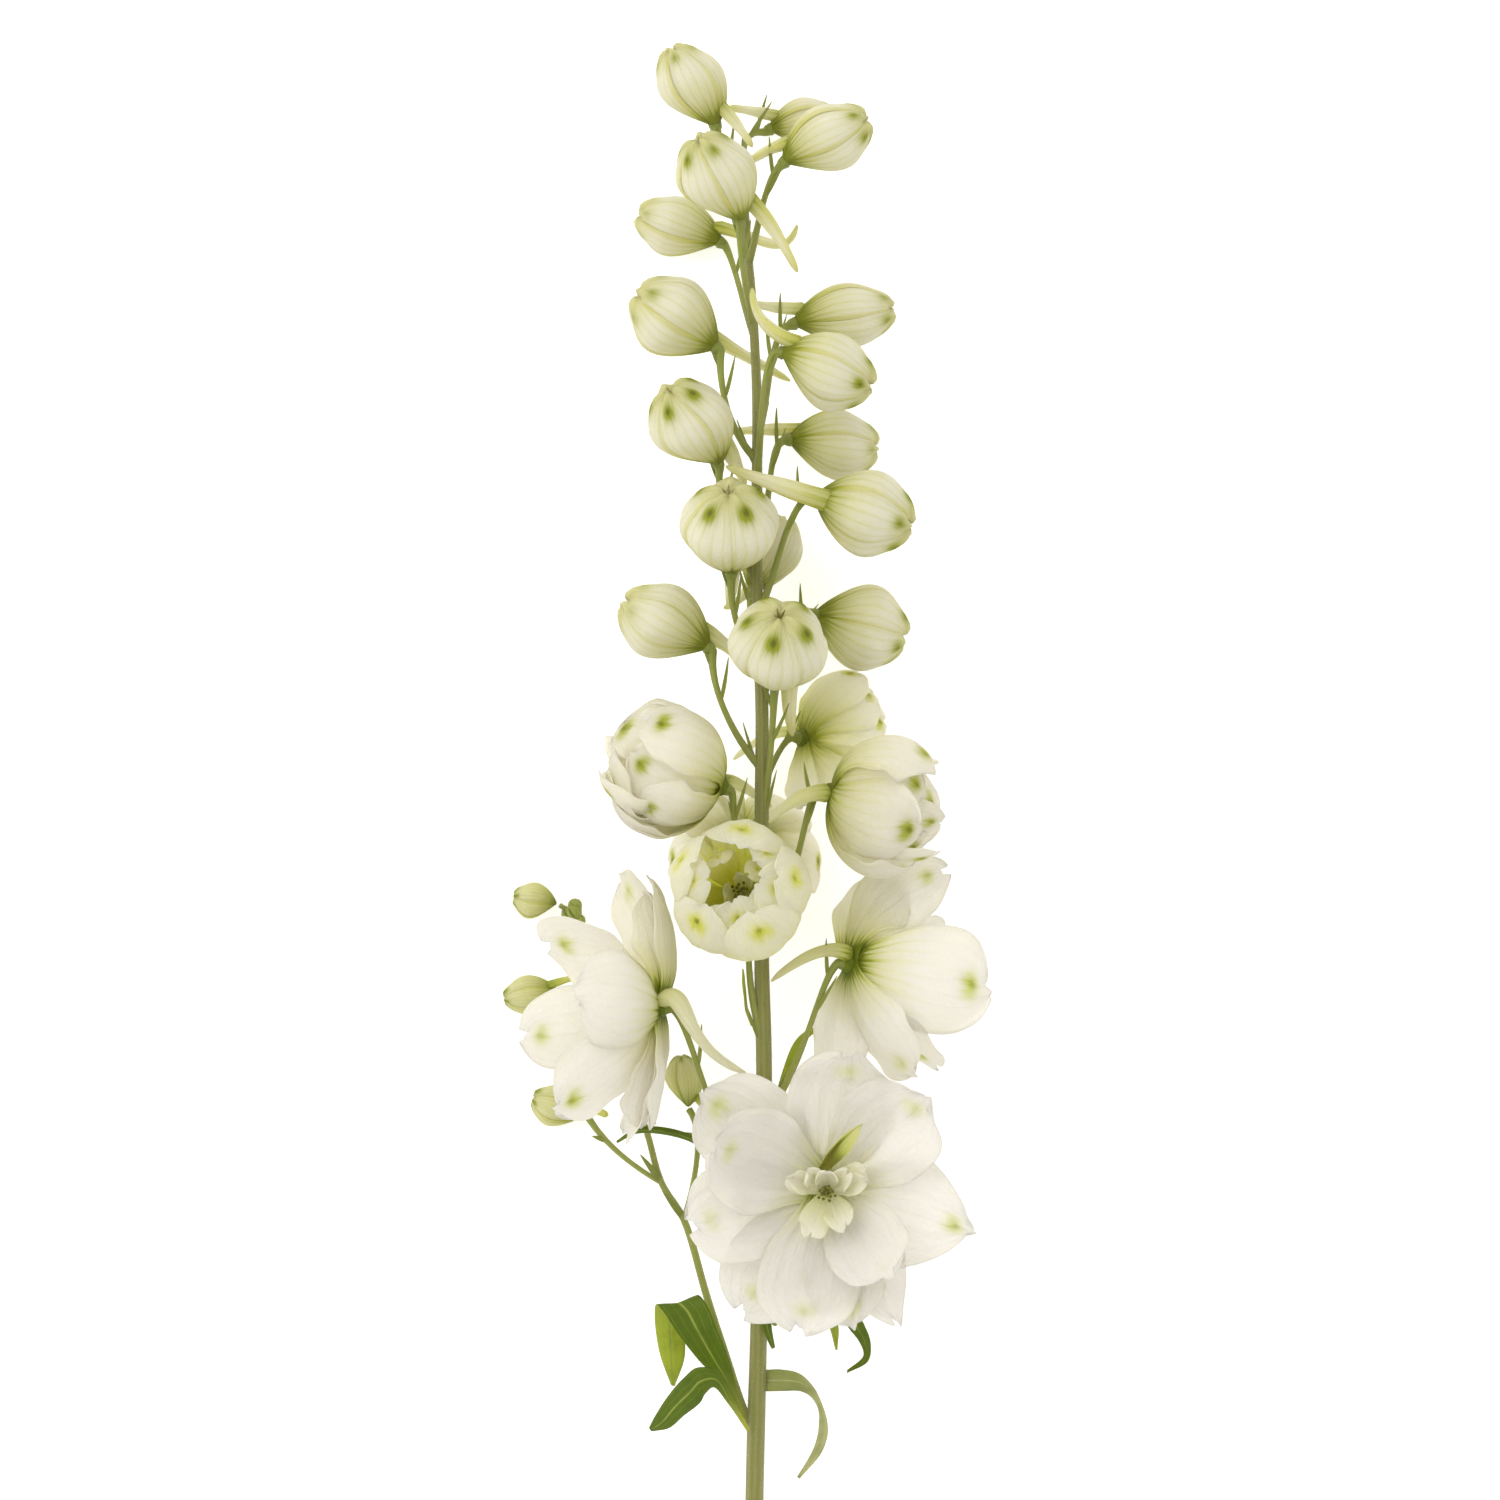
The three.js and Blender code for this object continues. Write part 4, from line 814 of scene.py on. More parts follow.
def outline(t):
    """Half a sepal's width as a share of its greatest: a smooth step from the claw to the widest place,
    times the square root of 1 - x^2.8 towards the tip."""
    opened = np.minimum(1, t / WIDEST)
    rounded = np.maximum(0, (t - WIDEST) / (1 - WIDEST))
    step = CLAW + (1 - CLAW) * opened * opened * (3 - 2 * opened)
    return step * np.sqrt(np.maximum(1 - rounded ** TIP_ROUNDNESS, 0))


print("width at the claw, the widest place and near the tip:", outline(np.array([0, WIDEST, 0.95])).round(2))

# %% One sepal
BEND_PLACE, BEND_ROUNDING = 1 / 3, 0.45
SEPAL_BLADE = 0.32
LAST_ROW = 0.995  # short of 1, where the outline closes to a point


def sepal(base, facing, row, noise, mark, under=None, rows=32, columns=21, ruffle=1.0, curl=0.0,
          ragged=1.0, point=0.0):
    """Midline: a cubic curve whose two bends lie 4/3 bulge length outwards. Across it the sheet bends to
    a circle of the cup radius, after a twist about the tangent. Then it is moved along its own inward
    side by the curl of the tip, the ruffle, the gutter, the pinch and folds, and its tip is nicked. A
    point above 0 narrows the last third."""
    x, y, z, width, bulge, cup = row[:6]
    roll = np.radians(row[6] if len(row) > 6 else 0)
    reach = np.array([x, y, z], float)
    length, chord = np.linalg.norm(reach), unit(reach)
    outward = square_to(chord, facing)
    inward = facing * (chord @ outward) - outward * (chord @ facing)
    over = np.cross(chord, inward)
    place = BEND_PLACE - BEND_ROUNDING * bulge
    swell = inward * (-4 / 3 * bulge * length)
    first, second, tip = base + reach * place + swell, base + reach * (1 - place) + swell, base + reach
    p1, p2, p3, p4, p5 = noise.uniform(0, 6.3, 5)
    t = (1 - (1 - np.linspace(0, 1, rows)) ** 1.35)[:, None] * LAST_ROW
    s = np.linspace(-1, 1, columns)[None, :]
    half = outline(t) * width / 2
    half = half * (1 + 0.04 * np.sin(6 * t + p1) * t
                   + ragged * 0.02 * np.sin(14 * t + p2 + 2 * np.sign(s)) * t ** 2)
    half = half * (1 - point * np.clip((t - 0.6) / 0.4, 0, 1))
    nick = ragged * (0.025 * np.sin(3 * s + p5) + 0.01 * np.sin(8 * s + p3))
    t = (t * (1 + nick * t ** 5 - 0.012 * t ** 5))[..., None]
    r = 1 - t
    centre = r ** 3 * base + 3 * t * r ** 2 * first + 3 * t * t * r * second + t ** 3 * tip
    along = unit(r ** 2 * (first - base) + 2 * t * r * (second - first) + t * t * (tip - second))
    turn = roll * np.minimum(1, 2 * t)
    across = (over * np.cos(turn) + np.cross(along, over) * np.sin(turn)
              + along * (along @ over)[..., None] * (1 - np.cos(turn)))
    normal = np.cross(across, along)
    t = t[..., 0]
    wrap = s * half / cup
    wave = np.sin(8.5 * t + p3 + 0.9 * s) * 0.65 + np.sin(20 * t + p4 - s) * 0.35
    edge = ruffle * 0.05 * width * np.abs(s) ** 3 * wave * np.minimum(1, 3 * t) * (0.3 + t)
    gutter = 0.014 * width * np.exp(-(s / 0.13) ** 2) * np.sin(np.pi * np.clip(t / 0.9, 0, 1))
    pinch = 0.03 * width * np.exp(-((t - 0.82) / 0.05) ** 2 - (s / 0.18) ** 2)
    turned_in = curl * np.maximum((t - 0.6) / 0.4, 0) ** 2
    broad_fold = 0.012 * width * np.sin(5 * s + p1) * np.sin(4 * t + p2) * t
    fine_fold = 0.005 * width * np.sin(17 * s + p4) * t * (1 - t) * 4
    lift = cup * (1 - np.cos(wrap)) + (edge - gutter + pinch + turned_in + broad_fold + fine_fold)
    middle = centre + across * (cup * np.sin(wrap))[..., None] + normal * lift[..., None]
    return blade(middle, SEPAL_BLADE, mark, under)


print("a sepal's thickness in mm:", SEPAL_BLADE)


# %% Receptacles
def knob(centre, radius, mark):
    """A small ball as a tube along an upright axis, with radius * sin at each ring."""
    a = np.linspace(0.12, np.pi - 0.12, 9)
    path = centre + np.stack([0 * a, 0 * a, -np.cos(a) * radius], axis=-1)
    return tube(path, radius * np.sin(a), mark, sides=14)


KNOB_RADIUS = 2.2
print("points of a receptacle:", len(knob(np.zeros(3), KNOB_RADIUS, (0, 0))["points"]))

# %% How the blooms differ
# For each bloom: its finish, how green its inner faces are, its spur's root and how yellow that is, how
# far the sepals' tips turn in, how much their edges ruffle, and how ragged they are.
BLOOM_LOOKS = (
    (petal_glow, 0.05, 1.8, 0.5, 1.0, 0.9, 1.0), (petal_cream, 0.0, 1.9, 0.6, 1.6, 1.2, 1.2),
    (petal_cream, 0.0, 2.3, 0.6, 2.0, 1.1, 1.2), (petal_lemon, 0.25, 1.8, 0.5, 2.4, 0.9, 0.6),
    (petal_cream, 0.05, 1.7, 0.5, 0.5, 0.9, 1.0), (petal_white, 0.0, 2.4, 0.8, 0.0, 1.0, 1.2),
    (petal_white, 0.0, 2.4, 0.5, 0.0, 1.0, 1.2), (petal_snow, 0.0, 1.7, 0.5, 0.0, 1.4, 1.35),
)
# By bloom, or by bloom and sepal, where it isn't as usual: how strong the spots are, how yellow both
# faces are, and how much the last third narrows.
SPOTS = {
    5: (0.3, 0.5, 0.9, 0.4, 0.7, 0.0, 0.2, 0.2),
    6: (0.2, 0.5, 0.0, 0.8, 0.0, 0.6, 0.6, 0.0, 0.2, 0.0, 0.1),
    7: (0.35, 0.4, 0.1, 0.8, 0.0, 0.4, 0.5, 0.4, 0.3, 0.5, 0.5),
}
YELLOWED = {
    (3, 6): 0.3, (3, 7): 0.3, (3, 8): 0.12, (5, 0): 0.14, (5, 1): 0.06, (6, 0): 0.12, (6, 1): 0.08,
    (6, 9): 0.2,
}
POINTED = {(7, 3): 0.5, (7, 4): 0.6, (5, 1): 0.2, (6, 0): 0.5}
# Extra petals inside the semi-double blooms, given like the sepals.
INNER_PETALS = {
    0: [(16, 9, -1.5, 18, 0.25, 12), (7, -13.5, 0, 15, 0.15, 12)],
    1: [(-19.5, 7, 10, 20, 0.36, 10), (-24, 7, 7, 18, 0.36, 10), (-25, 3, 4, 20, 0.36, 10),
        (-24, -3, -1, 20, 0.36, 11), (-14, 19, 6, 9, 0.2, 7)],
    2: [(21, 0, 8, 19, 0.33, 10), (21, -10, 4, 20, 0.34, 10), (24, -4, 0, 18, 0.32, 10),
        (24.5, -6.5, 4, 10, 0.2, 7)],
    3: [(-6, 9.5, 15, 8, 0.25, 6), (1.5, 7, 16, 7, 0.25, 6), (3, 2.5, 19, 13, 0.3, 7),
        (2.5, 10, 20, 13, 0.34, 8), (-10.5, 4, 19, 12, 0.3, 8), (3, 4.5, 22, 17, 0.4, 9),
        (-2.5, 0.5, 22, 16, 0.44, 9), (-8.5, 5.5, 21, 14, 0.38, 9)],
    6: [(-3.5, 24, -1, 20, 0.16, 13), (-4.5, -25, -4, 20, 0.1, 18)],
}
print("extra petals:", {index + 1: len(rows) for index, rows in INNER_PETALS.items()})

# %% Make the sepals and spurs of the eight blooms
OPEN_BLOOM = len(BLOOMS) - 1
for index, (base, heading, rise, bends, _, sepals) in enumerate(BLOOMS):
    base, facing, up = stance(base, heading, rise, bends)
    noise = np.random.default_rng(100 + index)
    finish, inner_green, spur_root, spur_tone, curl, ruffle, ragged = BLOOM_LOOKS[index]
    fine = {"rows": 46, "columns": 33} if index == OPEN_BLOOM else {}
    patches = [knob(base, KNOB_RADIUS, (0.0, 2.0))]
    for number, row in enumerate(sepals + INNER_PETALS.get(index, [])):
        strength = noise.uniform(0.75, 1.15) * (SPOTS[index][number] if index in SPOTS else 1.0)
        yellow = YELLOWED.get((index, number), 0.0)
        patches.append(sepal(
            base, facing, row, noise, (strength, yellow), under=(strength, max(yellow, inner_green)),
            ruffle=ruffle, curl=curl, ragged=ragged, point=POINTED.get((index, number), 0.0), **fine,
        ))
    root = base + up * 0.7 * KNOB_RADIUS
    patches.append(spur([root, *bends], spur_root, (0.0, spur_tone), start=0.32))
    make_piece(f"bloom_{index + 1}_sepals", patches, finish, f"bloom_{index + 1}")
print("blooms:", len(BLOOMS))

# %% [markdown]
# ## The bee
#
# In the middle of each bloom stands what gardeners call the bee: a few small crinkled petals round a
# boss of stamens. The petals are the same kind of sheet as the sepals, only shorter, more ruffled
# and greener at the foot.

# %% Inner petals
BEE_LIFT, BEE_BOSS, OPEN_BOSS = 3.1, 1.8, 1.3
PLAIN_TURNS = (50, 180, 310)
# The open bloom's bee: the petals below and beside the boss, the ruff above it, and how much of the map,
# counted from the tip, each kind shows, which keeps the green foot off them.
OPEN_BEE = [
    (-3.5, -9.5, 4, 7, 0.1, 8), (4, -7.5, 4, 6.5, 0.1, 8), (-8, 2.5, 4, 5, 0.1, 8),
    (8.5, 4.5, 4, 5.5, 0.1, 8),
]
OPEN_SHOWN, RUFF_SHOWN = 0.8, 0.6
RUFF = [
    (-7.4, 2.8, 4, 6, 0.1, 2.6), (-4, 4.4, 5.4, 6, 0.1, 2.6), (0.2, 4.4, 6, 6, 0.1, 2.6),
    (4.4, 4, 5.4, 6, 0.1, 2.6), (8.4, 2.4, 4, 6, 0.1, 2.6),
]
FOLD_FOOT, FOLD = np.array([-1.6, 3.6, 1.4]), (9.2, 10.6, 5, 4.6, 0.04, 1.7)  # the green folded petal
bee_petal = tissue_finish(
    "bee_petal", (250, 248, 240), (248, 243, 210), (234, 232, 152), (188, 198, 74), (112, 104, 34),
    blush=0.42, lit=0.55, veins=5.0, line=0.1, relief_depth=0.00012,
)
print("petals of the open bee:", len(OPEN_BEE + RUFF) + 1, "and of the others:", len(PLAIN_TURNS))

# %% Stamens
STAMENS, STAMEN_TURN = 11, 2.4  # their number, and the turn from each to the next in radians


def stamens(foot, facing, up, noise):
    """Thin stalks that lean out from the boss, each with a small anther at its end."""
    side = np.cross(facing, up)
    patches = []
    for k in range(STAMENS):
        turn = STAMEN_TURN * k
        lean = 0.35 + 0.5 * (k / STAMENS)
        out = up * np.cos(turn) + side * np.sin(turn)
        start = foot + out * 0.6
        end = foot + facing * noise.uniform(2.6, 3.6) + out * lean * 2.4
        stalk = bezier([start, start + facing * 1.6, end], 5)
        anther = bezier([end, end + facing * 0.4, end + facing * 0.9], 5)
        patches.append(tube(stalk, 0.16, (0.0, 1.15), sides=5))
        patches.append(tube(anther, [0.2, 0.34, 0.36, 0.3, 0.15], (0.0, 2.0), sides=6))
    return patches


print("stamens in each bee:", STAMENS)

# %% Make the bees
for index, (base, heading, rise, bends, _, _) in enumerate(BLOOMS):
    base, facing, up = stance(base, heading, rise, bends)
    noise = np.random.default_rng(200 + index)
    side = np.cross(facing, up)
    seat = base + facing * BEE_LIFT
    is_open = index == OPEN_BLOOM
    petals = OPEN_BEE + RUFF if is_open else [
        (*(facing * 5 + up * 3.4 * np.cos(w) + side * 3.4 * np.sin(w)), 4.4, 0.2, 5)
        for w in np.radians(PLAIN_TURNS)
    ]
    patches = [knob(seat + facing * 0.4, OPEN_BOSS if is_open else BEE_BOSS, (0.0, 1.7))]
    for row in petals:
        petal = sepal(seat, facing, row, noise, (0.0, 0.0), rows=22, columns=17, ruffle=3.0, ragged=3.0)
        if is_open:
            shown = RUFF_SHOWN if row in RUFF else OPEN_SHOWN
            petal["quad_map"] = petal["quad_map"] * (1.0, shown) + (0.0, 1 - shown)
        patches.append(petal)
    if is_open:
        s = np.tile(np.linspace(-1, 1, 15), 24)
        # the folded petal is green, and the dark band along its left fold line is painted shade in the crease
        fold_tone_and_crease_shade = np.stack([0 * s, 0.5 + 1.1 * np.exp(-((s + 0.55) / 0.2) ** 2)], axis=-1)
        patches.append(sepal(
            seat + FOLD_FOOT, facing, FOLD, noise, fold_tone_and_crease_shade, rows=24, columns=15, ruffle=1.2, point=0.75,
        ))
    patches += stamens(seat + facing, facing, up, noise)
    make_piece(f"bee_{index + 1}_petals", patches, bee_petal, f"bee_{index + 1}")
print("bees:", len(BLOOMS))

# %% [markdown]
# ## Stem and pedicels
#
# The stem tapers from the cut end to the top. Each flower hangs on a pedicel, which leaves the stem
# low, bends, and swells under the flower. Two slim bracteoles sit on each, and a thread-like bract
# where it leaves the stem. They are tubes and small blades, all in one piece with the stem.

# %% The stem
STEM_RADIUS, TOP_RADIUS = 2.0, 0.65
stem_path = through(STEM_LINE, 160)
place = np.linspace(0, 1, 160)
stem_radius = STEM_RADIUS + (TOP_RADIUS - STEM_RADIUS) * place ** 1.2
stem_radius = stem_radius * (1 + 0.012 * np.sin(60 * place))
fine_line = through(STEM_LINE, 2000)


def on_stem(y):
    """The point on the stem's centre line at a height up the spike."""
    return np.array([np.interp(y, fine_line[:, 1], fine_line[:, axis]) for axis in range(3)])


green_parts = [tube(stem_path, stem_radius, (0.0, 0.0), sides=24, lobes=0.03, ribs=8)]
print("stem length in mm:", round(run(stem_path)))

# %% Small pointed leaves
SLIM_LEAF = 0.22  # thickness, like SEPAL_BLADE


def slim_leaf(root, tip, width, mark, sag=0.8, rows=9):
    """A narrow folded blade from root to tip. It bends by sag out of its plane, and half its width is
    width / 2 sin(pi t^0.6)^0.8, so it is fullest near the foot and pointed at the tip."""
    root, tip = np.asarray(root, float), np.asarray(tip, float)
    ahead = unit(tip - root)
    side = unit(np.cross(ahead, np.array([0.15, 0.1, 1.0])))
    lift = np.cross(side, ahead)
    t = np.linspace(0.02, 0.985, rows)[:, None]
    line = bezier([root, (root + tip) / 2 + lift * sag, tip], rows)
    half = width / 2 * np.sin(np.pi * t ** 0.6) ** 0.8 + 0.05
    s = np.linspace(-1, 1, 5)[None, :]
    middle = line[:, None] + side * (half * s)[..., None] + lift * (0.35 * half * np.abs(s))[..., None]
    return blade(middle, SLIM_LEAF, mark)


print("slim leaf thickness in mm:", SLIM_LEAF)

# %% How thick a pedicel is
FOOT_RADIUS, WAIST_RADIUS, HEAD_RADIUS = 0.85, 0.62, 0.95


def pedicel_radius(t):
    """FOOT_RADIUS at the stem, evenly down to WAIST_RADIUS in the middle, and up to HEAD_RADIUS with the
    third power of the rest of the way."""
    lower = FOOT_RADIUS + (WAIST_RADIUS - FOOT_RADIUS) * t * 2
    upper = WAIST_RADIUS + (HEAD_RADIUS - WAIST_RADIUS) * np.maximum(t * 2 - 1, 0) ** 3
    return np.where(t < 0.5, lower, upper)


print("a pedicel's radius along it in mm:", pedicel_radius(np.linspace(0, 1, 5)).round(2).tolist())

# %% A pedicel with its bracts
# The two bracteoles: their place along the pedicel, their length, and the side they stand on.
BRACTEOLES = ((0.62, 9.5, 1), (0.86, 8.5, -1))


def pedicel(base, facing, up, foot, gap, swell, noise):
    """A cubic Bezier curve from the stem to just behind the flower, then on into the flower's foot,
    where it swells into the receptacle. The two inner points of the curve are worked out, unless foot
    gives them. On it sit the bracteoles, and a thread-like bract under its root."""
    end = base - facing * gap - up * 0.4
    start = on_stem(foot[0])
    reach = np.linalg.norm(end - start)
    first = start + (end - start) * 0.25 + (0, 0.25 * reach, 0)
    second = end - facing * 0.14 * reach - (0, 0.24 * reach, 0)
    if len(foot) > 1:
        first, second = foot[1:]
    line = bezier([start, first, second, end], 26)
    path = [*line, end + (base - end) * 0.5, base + facing * 0.5, base + facing * 1.3]
    radius = [*pedicel_radius(np.linspace(0, 1, 26)), 0.5 * (HEAD_RADIUS + swell), swell, swell * 0.6]
    fresh = [*np.linspace(0.35, 0.75, 26), 0.8, 0.8, 0.8]
    dark = [*np.zeros(20), *np.linspace(0, 0.45, 9)]
    mark = np.stack([fresh, dark], axis=-1)
    patches = [tube(np.array(path), np.array(radius), mark, sides=12, lobes=0.04, ribs=4)]
    for place, size, way in BRACTEOLES:
        k = int(place * 25)
        ahead = unit(line[k + 1] - line[k])
        aside = unit(np.cross(ahead, (0.0, 0.0, 1.0))) * way
        way_out = unit(ahead * 0.5 + aside * noise.uniform(0.25, 0.5) + (0, 0.7, 0.2))
        tip = line[k] + way_out * size
        patches.append(slim_leaf(line[k], tip, 0.75, (0.75, 0.0), sag=1.4 * way, rows=14))
    aside = unit((line[6] - line[0]) * (1, 0, 1) + (1e-3, 0, 0))
    under = start - (0, 1.2, 0) + aside * 0.6
    tip = under + (0, noise.uniform(8, 12), 0) + aside * noise.uniform(2.6, 4.6)
    patches.append(slim_leaf(under, tip, 0.7, (0.65, 0.0), sag=-0.9, rows=14))
    return patches


print("small leaves on a pedicel:", len(BRACTEOLES) + 1)

# %% Make the pedicels of buds and blooms
BUD_GAP, BUD_SWELL, BLOOM_GAP, BLOOM_SWELL = 0.9, 1.45, 0.72, 1.9
for index, (base, heading, rise, _, _, bends, foot) in enumerate(BUDS):
    noise = np.random.default_rng(300 + index)
    green_parts += pedicel(*stance(base, heading, rise, bends), foot, BUD_GAP, BUD_SWELL, noise)
for index, (base, heading, rise, bends, foot, _) in enumerate(BLOOMS):
    noise = np.random.default_rng(400 + index)
    gap = BLOOM_GAP + KNOB_RADIUS
    green_parts += pedicel(*stance(base, heading, rise, bends), foot, gap, BLOOM_SWELL, noise)
print("patches of green:", len(green_parts))

# %% [markdown]
# ## The side shoot
#
# A thin shoot leaves the stem in the axil of the lowest leaf and runs beside the spike. It carries
# four small buds, a tight cluster of tiny ones at its tip, and a few small bracts.

# %% Where the shoot runs
SIDE_LINE = [
    (-0.5, -144.5, 11), (-3, -139, 12), (-6.6, -128, 13.5), (-10.6, -115.5, 13), (-15.5, -99.3, 10),
    (-20.2, -91.7, 7), (-23.5, -80.4, 5.5), (-31, -59, 3.5), (-38.5, -35.5, 3.5), (-41.8, -32.9, 4.5),
]
SIDE_PEDICELS = [  # four Bezier points, and whether it has two small bracts
    ([(-15.5, -99.3, 10), (-13.6, -93, 12), (-10.5, -81, 13.5), (-14.4, -75.9, 13)], True),
    ([(-20.2, -91.7, 7), (-26, -88.4, 6), (-32, -84, 4.4), (-35.8, -77.9, 4.1)], True),
    ([(-32, -56, 3.5), (-35, -53, 3.8), (-38, -52, 3.6), (-42, -51.1, 3.6)], False),
]
TINY_BUDS = [  # centre and radius
    (-38.6, -34.8, 4.6, 1.6), (-39.4, -35.6, 3.4, 1.8), (-38.4, -33.4, 4.2, 1.4), (-37.6, -36.6, 4, 1.3),
]
CURL = [(1.6, -117.4, 19.2), (3.4, -117.8, 20), (4.6, -119.4, 20), (3.8, -121.2, 19.6), (2.7, -120, 19.8)]
side_path = through(SIDE_LINE, 80)
side_radius = np.linspace(0.95, 0.55, 80)
print("shoot length in mm:", round(run(side_path)))

# %% The shoot, its pedicels and its cluster
green_parts.append(tube(side_path, side_radius, (0.45, 0.0), sides=12, lobes=0.05, ribs=4))
for points, leafy in SIDE_PEDICELS:
    line = bezier(points, 18)
    green_parts.append(tube(line, 0.55 + 0.2 * np.linspace(0, 1, 18) ** 3, (0.6, 0.0), sides=10))
    if leafy:
        green_parts.append(slim_leaf(line[12], line[12] + (-3, 1, 0.6), 1.0, (0.7, 0.0), sag=0.4))
        green_parts.append(slim_leaf(line[0], line[0] + (-4.5, 6, 0.8), 1.3, (0.6, 0.1), sag=0.8))
for k, (x, y, z, r) in enumerate(TINY_BUDS):
    green_parts += bud_shell(
        np.array([x, y, z], float) + (0.6 * r, -0.8 * r, 0), direction(125, 5), np.array([0, 0, 1.0]),
        2.3 * r, 2.0 * r, seed=500 + k, rows=9, columns=7,
    )
green_parts.append(tube(through(CURL, 16), np.linspace(0.5, 0.3, 16), (0.9, 0.0), sides=8))
green_stem = make_piece("green_stem", green_parts, stem_skin, "flowering_stem")
print("patches in the stem's piece:", len(green_parts), "with points:", len(green_stem.data.vertices))

# %% The four small buds
SIDE_BUDS = [
    ((-42.6, -32.6, 4.6), 172, 4, 8.8, 7.6, None),
    ((-42.4, -51, 3.55), -172, 0, 11, 8, [(-40.5, -48.6, 5.5), (-37.5, -48, 6)]),
    ((-36.8, -77.6, 4.1), 160, 0, 11, 9, [(-34, -76, 6.2), (-31.6, -77.4, 8)]),
    ((-14.6, -75.3, 13), 98, 5, 10.5, 8, [(-11.5, -74.5, 14), (-9.6, -78.5, 15)]),
]
side_green = tissue_finish(
    "side_bud_green", (251, 248, 212), (246, 242, 184), (222, 220, 116), (170, 180, 66), (116, 130, 44),
    blush=0.5, lit=0.45, tip_glow=0.4, margin=0.4, line=0.15, spot_at=0.9, claw_depth=0.5,
)
for index, row in enumerate(SIDE_BUDS):
    closed_bud(f"side_bud_{index + 1}", row, side_green, "side_bud", 0.5,
               seed=600 + index, rows=18, columns=15)
print("side buds:", len(SIDE_BUDS))

# %% [markdown]
# ## Leaves
#
# A leaf is written down by its two edges, station by station, so that it may arch and fold over. Six
# numbers are a point of the one edge and its fellow on the other. A smooth curve goes through each
# edge, the blade spans from the one to the other, and the midrib lies a little below them.

# %% The edges of each leaf
# for each leaf: how deep the fold at the midrib is, whether it is of the pale kind, then its stations
LEAVES = {
    "leaf_1": (0.9, False, [
        (-3, -142.7, 13.2, -2.4, -142, 13.8), (-7, -134.5, 15, -4.2, -135.5, 16),
        (-12.5, -128.5, 17.5, -5.8, -129, 18), (-17, -122.5, 20, -8.5, -122, 20.5),
        (-19.8, -118.2, 21.5, -10.5, -117, 21.5), (-21.2, -116.8, 19.5, -12.5, -115, 19.5),
        (-21.6, -120, 15, -15, -119, 15), (-20.6, -127.5, 11, -15.3, -128.5, 11),
        (-18.2, -134.4, 8, -17.4, -134.6, 8)]),
    "leaf_2": (0.5, False, [
        (-1.4, -143.6, 14.1, -2.1, -143.9, 13.9), (-4.9, -137, 19.4, -6.1, -137.8, 19),
        (-8.4, -130.8, 22.5, -9.2, -134.2, 22), (-12.6, -130, 23.8, -10.8, -135.4, 23.4),
        (-15.2, -132, 22.5, -12, -137.5, 22), (-18.6, -136, 19, -15.4, -140.4, 18.5),
        (-21.4, -140.4, 15.5, -18.6, -143.2, 15), (-22.8, -143.2, 13, -22.2, -144, 13)]),
    "leaf_3": (0.5, False, [
        (1.4, -131, 13.6, 1.4, -135.6, 13), (5, -130.8, 15.5, 5.4, -135.4, 15),
        (9, -131.6, 17, 9.2, -135.4, 16.5), (11.6, -134, 17, 11.4, -136.6, 16.5),
        (13.6, -137.6, 16, 12.9, -139, 16), (14.9, -142, 13.5, 13.1, -142, 14),
        (14.9, -145.2, 11.5, 12.8, -145, 12), (13.5, -149, 9.5, 11.7, -148.4, 9.8),
        (9, -154.4, 7, 8.5, -154, 7)]),
    "leaf_4": (0.4, False, [
        (3, -114.6, 18.4, 3, -116, 18), (9, -115.4, 21, 9, -117.2, 20.6),
        (20.8, -118.6, 23, 17.6, -120, 22.6), (23, -122, 22, 19.8, -122.4, 21.6),
        (24, -125.6, 20, 21.6, -124.8, 19.8), (23.4, -129, 18, 22.4, -127.8, 17.6),
        (19, -131.6, 15, 19, -131, 15)]),
    "leaf_5": (0.3, True, [
        (3, -112, 17.6, 3, -113.2, 17.2), (9, -113.2, 18.4, 8.2, -114.8, 18),
        (16.8, -120.4, 19, 14.6, -120.6, 18.6), (17, -126.6, 17, 16.6, -126.6, 17)]),
    "bract_1": (0.4, False, [
        (3.2, -76.6, 23.7, 4.2, -76, 22.7), (4.8, -69.6, 22, 6.4, -69.2, 21.6),
        (8.2, -61.2, 20, 9.6, -62.2, 19.6), (12, -58.6, 17.4, 12.2, -59.8, 17),
        (15.2, -59.2, 14, 15.2, -59.8, 14)]),
    "bract_2": (0.4, False, [
        (-1.2, -92.7, 24.9, -0.9, -94.2, 24.4), (-10, -83.8, 26, -9.4, -85.4, 25.6),
        (-14.2, -80.8, 26, -14, -82.4, 25.6), (-20.5, -79.2, 25, -20.5, -80.8, 24.6),
        (-25.5, -79.6, 23.4, -25.4, -80.8, 23), (-29.6, -82.4, 21, -29.4, -82.8, 21)]),
    "bract_3": (0.3, False, [
        (0.4, -117.2, 20.6, 2.6, -117.2, 20.1), (0.9, -121, 20.4, 3, -121, 19.9),
        (2, -124, 19.5, 3.4, -123.8, 19.1), (3.1, -126.3, 18.3, 3.8, -126, 18.1)]),
    "bract_4": (0.3, True, [
        (-1.3, -57.8, 27, -1.1, -58, 28.4), (-2.4, -54.6, 27.4, -2.2, -54.6, 28.9),
        (-3, -50.2, 28.2, -2.6, -50, 29.6), (-3.1, -46, 29.4, -2.9, -46, 29.9)]),
}
print("stations of each leaf:", [len(stations) for _, _, stations in LEAVES.values()])


